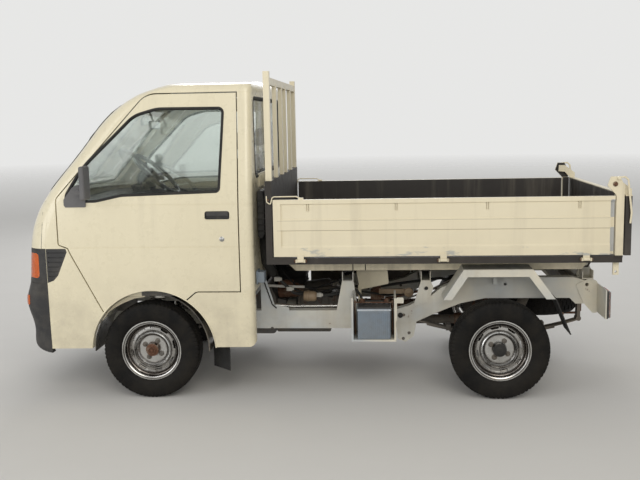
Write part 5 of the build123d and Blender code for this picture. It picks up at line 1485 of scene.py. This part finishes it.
for name, sign in sides:
    edge = pipeRun([(x, sign * 464, z) for x, z in ((-597, 612), (-606, 624), (-652, 484), (-676, 462))], 3.4, 10)
    edge.piece(f"gussetRubber_{name}", "chassis", "rubber", "black_trim")
    plug = Shape().turn([(15, 0), (15, 2.5), (11, 4), (0.2, 4)], spot(-1372, sign * 460, 419), (0, sign, 0), 26)
    plug.turn([(10, 0), (10, 3), (8, 4), (0.2, 4)], spot(-1517, sign * 466, 574), (0, sign, 0), 22)
    plug.piece(f"bracketPlugs_{name}", "chassis", "rubber", "black_trim", 0.4)
    bolts = Shape()
    boltPlaces = [(x, sign * 460, z) for x, z in ((-1420, 318), (-1388, 286), (-648, 344))]
    boltHeads(bolts, boltPlaces, (0, sign, 0), 6, 6)
    bolts.piece(f"frameBolts_{name}", "chassis", "iron", "chassis_paint", 0.4)
    damper = Shape().tube([spot(-1990, sign * 330, 300), spot(-2060, sign * 345, 470)], 24, 20)
    damper.tube([spot(-2060, sign * 345, 470), spot(-2100, sign * 354, 570)], 15, 16)
    damper.tube([spot(-2050, sign * 343, 446), spot(-2072, sign * 348, 500)], 28, 20)
    damper.block(-2085, -2120, sign * 345, sign * 400, 560, 585)
    damper.block(-1965, -2005, sign * 318, sign * 345, 276, 312)
    damper.piece(f"rearDamper_{name}", "chassis", "under", "chassis_paint", 1.0)
    clamps = Shape()
    near, far, rod, top = [springSize[key] for key in ("near", "far", "rod", "top")]
    for x in springSize["bolts"]:
        for y in (near, far):
            clamps.tube([spot(x, sign * y, z) for z in (top, 236, 228)], rod, 10)
        clamps.tube([spot(x, sign * near, top - 4), spot(x, sign * far, top - 4)], rod, 10)
    clamps.block(-1856, -1944, sign * (near - 8), sign * (far + 8), 226, 235)
    boltHeads(clamps, [(x, sign * y, 224) for x in springSize["bolts"] for y in (near, far)], (0, 0, -1), 9, 10)
    clamps.piece(f"springClamps_{name}", "chassis", "rusty", "chassis_paint", 0.6)
    straps = Shape()
    for x, low in springSize["straps"]:
        straps.block(x - 14, x + 14, sign * (near + 3), sign * (far - 3), low, low + 34)
    straps.piece(f"springStraps_{name}", "chassis", "under", "chassis_paint", 2.0)
    low, high = [Vector((0, sign * y, z)) for y, z in (bootSize["foot"], bootSize["head"])]
    leanAxis = Vector((0, (high - low).y, (high - low).z)).normalized()
    profile = [(bootSize["outer" if k % 2 else "inner"], k * bootSize["pitch"]) for k in range(bootSize["rings"])]
    boot = Shape().turn(profile, spot(*low), leanAxis, 24)
    boot.piece(f"strutBoot_{name}", f"knuckle_{name}", "rubber", "flap_rubber")
    tie = Shape().tube([spot(-118, sign * 514, 252), spot(-122, sign * 300, 258), spot(-122, sign * 200, 258)],
                       9, 12)
    tie.piece(f"steeringRod_{name}", "chassis", "under", "chassis_paint")
    flapBolts = Shape()
    boltHeads(flapBolts, [(-2232, sign * y, 462) for y in (500, 560, 615)], (-0.92, 0, 0.38), 7)
    flapBolts.piece(f"flapBolts_{name}", "chassis", "rusty", "chassis_paint", 0.3)
rack = Shape().tube([spot(-122, -205, 258), spot(-122, 205, 258)], 20, 20)
rack.piece("steeringRack", "chassis", "under", "chassis_paint")
coverSize = {"bolts": 10, "boltCircle": 92}
cover = Shape().turn([(0.2, 0), (60, 0), (84, -8), (96, -24), (100, -30), (92, -36)], spot(-2008, 0, axleHigh),
                     (-1, 0, 0), 36)
turns = [2 * math.pi * k / coverSize["bolts"] for k in range(coverSize["bolts"])]
boltHeads(cover, [(-1985, coverSize["boltCircle"] * math.cos(a), axleHigh + coverSize["boltCircle"] * math.sin(a))
                  for a in turns], (-1, 0, 0), 7)
cover.piece("axleCover", "chassis", "under", "chassis_paint", 1.0)
joint = Shape()
for x in (-1010, -1740):
    joint.turn([(0.2, -34), (34, -34), (38, -24), (38, 24), (34, 34), (0.2, 34)], spot(x, 0, 290), (1, 0, 0), 24)
    joint.turn([(0.2, -44), (15, -44), (15, 44), (0.2, 44)], spot(x, 0, 290), (0, 1, 0), 16)
joint.piece("shaftJoints", "chassis", "rusty", "chassis_paint", 1.0)
spareSize = {"place": (-2180, 0, 432), "blocks": 48, "tread": (252, 258), "blockHalf": 11, "nutCircle": 50}
spare = Shape()
spareAt, treads = Vector(spareSize["place"]), spareSize["blocks"]
spare.turn([(150, -50), (158, -62), (200, -70), (238, -66), (252, -48), (255, -24), (255, 24), (252, 48),
            (238, 66), (200, 70), (158, 62), (150, 50)], spot(*spareAt), (0, 0, 1), 72, True)
for k in range(treads):
    for low, high, shift in ((-44, -16, 0), (-12, 12, 0.5), (16, 44, 0)):
        angle = 2 * math.pi * k / treads + shift * 2 * math.pi / treads
        middle = Vector((math.cos(angle), math.sin(angle), 0))
        side = Vector((-math.sin(angle), math.cos(angle), 0))
        half = spareSize["blockHalf"]
        corners = [spareAt + middle * r + side * s + Vector((0, 0, z))
                   for r in spareSize["tread"] for s in (-half, half) for z in (low, high)]
        first = len(spare.points)
        spare.points += [spot(*corner) for corner in corners]
        spare.faces += [[first + i for i in quad] for quad in boxFaces]
spare.piece("spareTyre", "chassis", "tyre", "tyre_rubber", 0.5)
disc = Shape().turn([(0.2, 30), (60, 30), (70, 34), (96, 34), (112, 20), (140, 16), (148, -44), (158, -52),
                     (154, -40), (146, -30), (144, 24), (112, 28), (96, 40), (66, 40), (60, 36), (0.2, 36)],
                    spot(*spareAt), (0, 0, 1), 60)
for k in range(4):
    out = Vector((math.cos(k * math.pi / 2), math.sin(k * math.pi / 2), 0)) * spareSize["nutCircle"]
    hexNut(disc, spot(*(spareAt + out + Vector((0, 0, 30)))), (0, 0, -1), 9, 0.4, 14)
disc.piece("spareRim", "chassis", "under", "wheel_steel", 0.8)
carrier = Shape()
for y in (-70, 70):
    carrierLine = ((-1914, 510), (-1910, 350), (-1930, 343), (-2430, 343), (-2446, 356), (-2446, 510))
    carrier.tube([spot(x, y, z) for x, z in carrierLine], 7, 12)
carrier.tube([spot(-2180, -70, 343), spot(-2180, 70, 343)], 9, 12)
carrier.piece("spareCarrier", "chassis", "rusty", "chassis_paint")
print("stage: under the bed")

# Battery: ribbed case and pale rim in blue-grey tones of painted shade, caps and terminals
batterySize = {"ribs": 16, "firstRib": -1309, "ribPitch": 11, "low": 346, "high": 486, "caps": 6, "capPitch": 28}
batteryBits = Shape()
for k in range(batterySize["ribs"]):
    x = batterySize["firstRib"] + batterySize["ribPitch"] * k
    batteryBits.block(x - 1.6, x + 1.6, 683, 686.5, batterySize["low"], batterySize["high"])
batteryBits.piece("batteryRibs", "chassis", "shadeBlueCase", "battery_case", 0.8)
rim = Shape().plate([(-1318.5, 497.5), (-1137.5, 497.5), (-1137.5, 686.5), (-1318.5, 686.5)], "Z", 494, 503)
rim.piece("batteryRim", "chassis", "shadeBlueRim", "battery_case", 1.5)
lid = Shape().plate([(-1314, 502), (-1142, 502), (-1142, 682), (-1314, 682)], "Z", 503, 514)
for k in range(batterySize["caps"]):
    lid.turn([(11, 0), (11, 5), (9, 7), (3, 7), (3, 5), (0.2, 5)],
             spot(-1298 + batterySize["capPitch"] * k, 592, 513), (0, 0, 1), 20)
lid.piece("batteryLid", "chassis", "trim", "battery_case", 1.5)
poles = Shape()
for x, y in ((-1296, 530), (-1160, 530)):
    poles.turn([(9, 0), (8, 16), (7, 18), (0.2, 18)], spot(x, y, 512), (0, 0, 1), 18)
    poles.turn([(10, 3), (16, 3), (16, 13), (10, 13)], spot(x, y, 512), (0, 0, 1), 20, True)
    poles.block(x - 6, x + 6, y - 30, y - 12, 516, 524)
poles.piece("batteryPoles", "chassis", "rusty", "wheel_steel", 0.5)
lead = pipeRun([(-1160, 500, 520), (-1150, 480, 540), (-1130, 440, 560), (-1100, 400, 560), (-1010, 380, 540)],
               7, 30)
lead.piece("batteryLead", "chassis", "tape", "black_trim")
hold = Shape().block(-1334, -1118, 586, 598, 520, 524)
for x in (-1328, -1124):
    hold.tube([spot(x, 592, 342), spot(x, 592, 534)], 3.2, 10)
boltHeads(hold, [(x, 592, 524) for x in (-1328, -1124)], (0, 0, 1), 7)
hold.piece("batteryClamp", "chassis", "rusty", "chassis_paint", 0.6)
tab = Shape()
tabLine = [(-1346, 440), (-1346, 560), (-1351, 568), (-1384, 568), (-1386, 560), (-1386, 537), (-1351, 537),
           (-1351, 440)]
tab.plate(tabLine, "Y", 686, 690)
tab.turn([(7, 0), (7, 1.6), (0.2, 1.6)], spot(-1370, 690, 552), (0, 1, 0), 18)
tab.piece("cageTab", "chassis", "rail", "chassis_paint", 0.5)
print("stage: battery")

# Bed: gate latches, pivot nuts, tail levers, hinge pins, guard feet, stringer splits, buffers and floor welds
bedSize = {"latchRadius": 3.2, "leverRadius": 5.0, "pivot": (-2468, 696.2, 1158), "hinges": (-842, -1596, -2330),
           "hingeHalf": 30, "guardFeet": (97.5, 362.5, 640), "stringer": (405, 460), "weldAt": 220}
near, far = bedSize["stringer"]
for name, sign in sides:
    latch = pipeRun([(-667, sign * 694.5, 1118), (-668, sign * 694.5, 1086), (-688, sign * 694.5, 1072),
                     (-697, sign * 694, 1108), (-706, sign * 688, 1113), (-824, sign * 684, 1113),
                     (-850, sign * 684, 1101)], bedSize["latchRadius"], 10, 10)
    latch.block(-836, -862, sign * 675, sign * 692, 1096, 1106)
    latch.piece(f"gateLatch_{name}", f"gate_{name}", "gate", "body_paint", 0.5)
    pin = Shape().turn([(0.2, 0), (5.5, 0), (5.5, 6), (0.2, 6)], spot(-674, sign * 690, 1096), (0, sign, 0), 16)
    pin.piece(f"latchPin_{name}", "bed", "rusty", "bed_paint")
    bolts = Shape()
    pivotX, pivotY, pivotZ = bedSize["pivot"]
    pivot = spot(pivotX, sign * pivotY, pivotZ)
    bolts.turn([(13, 0), (13, 2.0), (0.2, 2.0)], pivot, (0, sign, 0), 28)
    hexNut(bolts, pivot, (0, sign, 0), 10.5, 1, 9.5)
    bolts.turn([(6, 6), (6, 13), (4.8, 14), (0.2, 14)], pivot, (0, sign, 0), 18)
    bolts.piece(f"tailPivotNut_{name}", "tailgate", "rusty", "body_paint", 0.5)
    lever = pipeRun([(-2484, sign * 704, 1190), (-2512, sign * 704, 1196), (-2530, sign * 704, 1180),
                     (-2551, sign * 704, 1010), (-2546, sign * 704, 956)], bedSize["leverRadius"], 12, 12)
    lever.turn([(0.2, -8), (9, -8), (9, 8), (0.2, 8)], spot(-2484, sign * 703, 1190), (0, 1, 0), 18)
    lever.piece(f"tailLever_{name}", "tailgate", "gate", "body_paint")
    pins = Shape()
    for x in bedSize["hinges"]:
        for end in (x - bedSize["hingeHalf"], x + bedSize["hingeHalf"]):
            pins.turn([(0.2, -2.5), (8, -2.5), (8, 2.5), (0.2, 2.5)], spot(end, sign * 704, 770), (1, 0, 0), 16)
    pins.piece(f"hingePins_{name}", "bed", "rusty", "bed_paint", 0.6)
    feet = Shape()
    for y in bedSize["guardFeet"]:
        feet.block(-656.5, -660.5, sign * y - 26, sign * y + 26, 1150, 1192)
        boltHeads(feet, [(-656.5, sign * y - 14, 1171), (-656.5, sign * y + 14, 1171)], (1, 0, 0), 6.5, 5)
    feet.piece(f"guardFeet_{name}", "bed", "gate", "body_paint", 0.8)
    splits = Shape()
    for x in (-1110, -1180):
        splits.block(x - 2.5, x + 2.5, sign * (far - 1), sign * (far + 1.5), 676.5, 749)
        splits.block(x - 2.5, x + 2.5, sign * near, sign * far, 674.5, 677)
    splits.piece(f"stringerSplits_{name}", "bed", "rubber", "bed_paint", 0.3)
buffers = Shape()
for x in (-1080, -1514):
    for sign in (1, -1):
        buffers.block(x - 24, x + 24, sign * (near + 3), sign * (far - 4), 668.2, 675.6)
buffers.piece("bedBuffers", "chassis", "rubber", "flap_rubber", 1.5)
welds = Shape()
for y in (-bedSize["weldAt"], bedSize["weldAt"]):
    welds.tube([spot(-700 - 60 * k, y, 787.0) for k in range(31)], 1.6, 6)
welds.piece("floorSeams", "bed", "black", "bed_paint")
print("stage: bed details")

# Rear: lamps in three colours, blank number plate with its lamp, towing eye
tailLamp = {"low": 440, "high": 590, "near": 505, "far": 650, "back": -2464, "face": -2475.6, "rim": 4}
tailLenses = (("stop", 508, 566, "red"), ("turn", 568, 611, "amber"), ("reverse", 613, 647, "clear"))
for name, sign in sides:
    rearPieces = []
    house = Shape().block(-2452.6, tailLamp["back"], sign * tailLamp["near"], sign * tailLamp["far"],
                          tailLamp["low"], tailLamp["high"])
    rearPieces.append(house.piece(f"tailLampBack_{name}", "chassis", "trim", "black_trim", 4.0))
    for key, near, far, colour in tailLenses:
        lens = Shape().block(tailLamp["back"] + 1, tailLamp["face"], sign * near, sign * far,
                             tailLamp["low"] + tailLamp["rim"], tailLamp["high"] - tailLamp["rim"])
        rearPieces.append(lens.piece(f"tailLens_{key}_{name}", "chassis", colour, f"lamp_{colour}", 4.0))
    screws = Shape()
    for y, z in ((520, 515), (638, 515)):
        screws.turn([(4.5, 0), (4.5, 0.2), (0.2, 0.3)], spot(-2475.5, sign * y, z), (-1, 0, 0), 14)
    screws.piece(f"tailLampScrews_{name}", "chassis", "rod", "wheel_steel")
    for piece in rearPieces:
        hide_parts("tail_lamps")
rearPlate = Shape().block(-2453.6, -2455.4, -plateSize["half"], plateSize["half"], plateSize["rearLow"],
                          plateSize["rearLow"] + plateSize["high"])
rearPlate.piece("numberPlateRear", "chassis", "plate", "wheel_steel", 0.6)
rearBits = Shape()
plateScrews(rearBits, -2455.4, 560, -1)
rearBits.block(-2452.5, -2490, -40, 40, 582, 604)
rearBits.piece("plateLamp", "chassis", "trim", "black_trim", 2.5)
eyeSize = {"x": -2462, "y": -300, "z": 500, "ring": 22, "rod": 7}
eye = Shape()
eyeTurns = [math.radians(a) for a in range(0, 360, 15)]
eye.tube([spot(eyeSize["x"] - eyeSize["ring"] * math.sin(a), eyeSize["y"],
               eyeSize["z"] + eyeSize["ring"] * math.cos(a)) for a in eyeTurns], eyeSize["rod"], 12, True)
eye.block(-2440, -2456, -314, -286, 470, 530)
eye.piece("towingEye", "chassis", "rusty", "chassis_paint", 1.0)
print("stage: rear")

# Behind the cab: slotted vent, intake snorkel; strut seats and liners in the wheel houses, front panel seams
backSize = {"vent": (-586.5, -590, 150, 440, 1140, 1222), "slots": 9, "firstSlot": 172, "slotPitch": 30,
            "ribs": 6, "firstRib": 905, "ribPitch": 34, "strutSeat": (-46, 590, 592)}
ventBack = Shape().block(*backSize["vent"])
for k in range(backSize["slots"]):
    y = backSize["firstSlot"] + backSize["slotPitch"] * k
    ventBack.plate([(y, 1148), (y + 11, 1148), (y + 17, 1214), (y + 6, 1214)], "X", -590, -597)
ventBack.piece("rearVent", "chassis", "body", "body_paint", 0.8)
snorkel = Shape()
snorkel.plate([(-590, 880), (-590, 1128), (-604, 1136), (-622, 1128), (-630, 1100), (-630, 900), (-622, 872),
               (-604, 864)], "Y", 330, 520)
for k in range(backSize["ribs"]):
    z = backSize["firstRib"] + backSize["ribPitch"] * k
    snorkel.block(-590, -634, 326, 524, z, z + 9)
snorkel.piece("intakeSnorkel", "chassis", "trim", "black_trim", 6.0)
neck = pipeRun([(-610, 425, 872), (-612, 420, 800), (-616, 390, 720), (-640, 330, 640)], 30, 60, 20)
neck.piece("intakeNeck", "chassis", "rubber", "black_trim")
for name, sign in sides:
    seatX, seatY, seatZ = backSize["strutSeat"]
    seat = Shape().turn([(0.2, 0), (26, 0), (30, -4), (30, -36), (26, -41), (0.2, -41)],
                        spot(seatX, sign * seatY, seatZ), (0, -sign * 0.2, 1), 32)
    hexNut(seat, spot(seatX, sign * seatY, seatZ - 2), (0, -sign * 0.2, 1), 9, 0, 10)
    seat.piece(f"strutSeat_{name}", "chassis", "pale", "chassis_paint", 1.0)
    liner = Shape()
    linerLine = archArc(archSize["liner"], range(34, 83, 3))
    linerLine += [(33, 562), (92, 554), (160, 527), (206, 502), (250, 470)]
    liner.plate(linerLine, "Y", sign * archSize["linerAt"], sign * (archSize["linerAt"] + archSize["linerThick"]))
    liner.piece(f"wheelLiner_{name}", "chassis", "gate", "body_paint", 0.8)
    panelSeam = Shape()
    places, _ = skinLine([(556, 1102), (561, 1040), (563, 978), (570, 900), (574, 842)], "Y", sign, -0.6)
    panelSeam.tube(places, 1.6, 8)
    panelSeam.piece(f"frontPanelSeam_{name}", "chassis", "rubber", "black_trim")
print("stage: behind the cab")
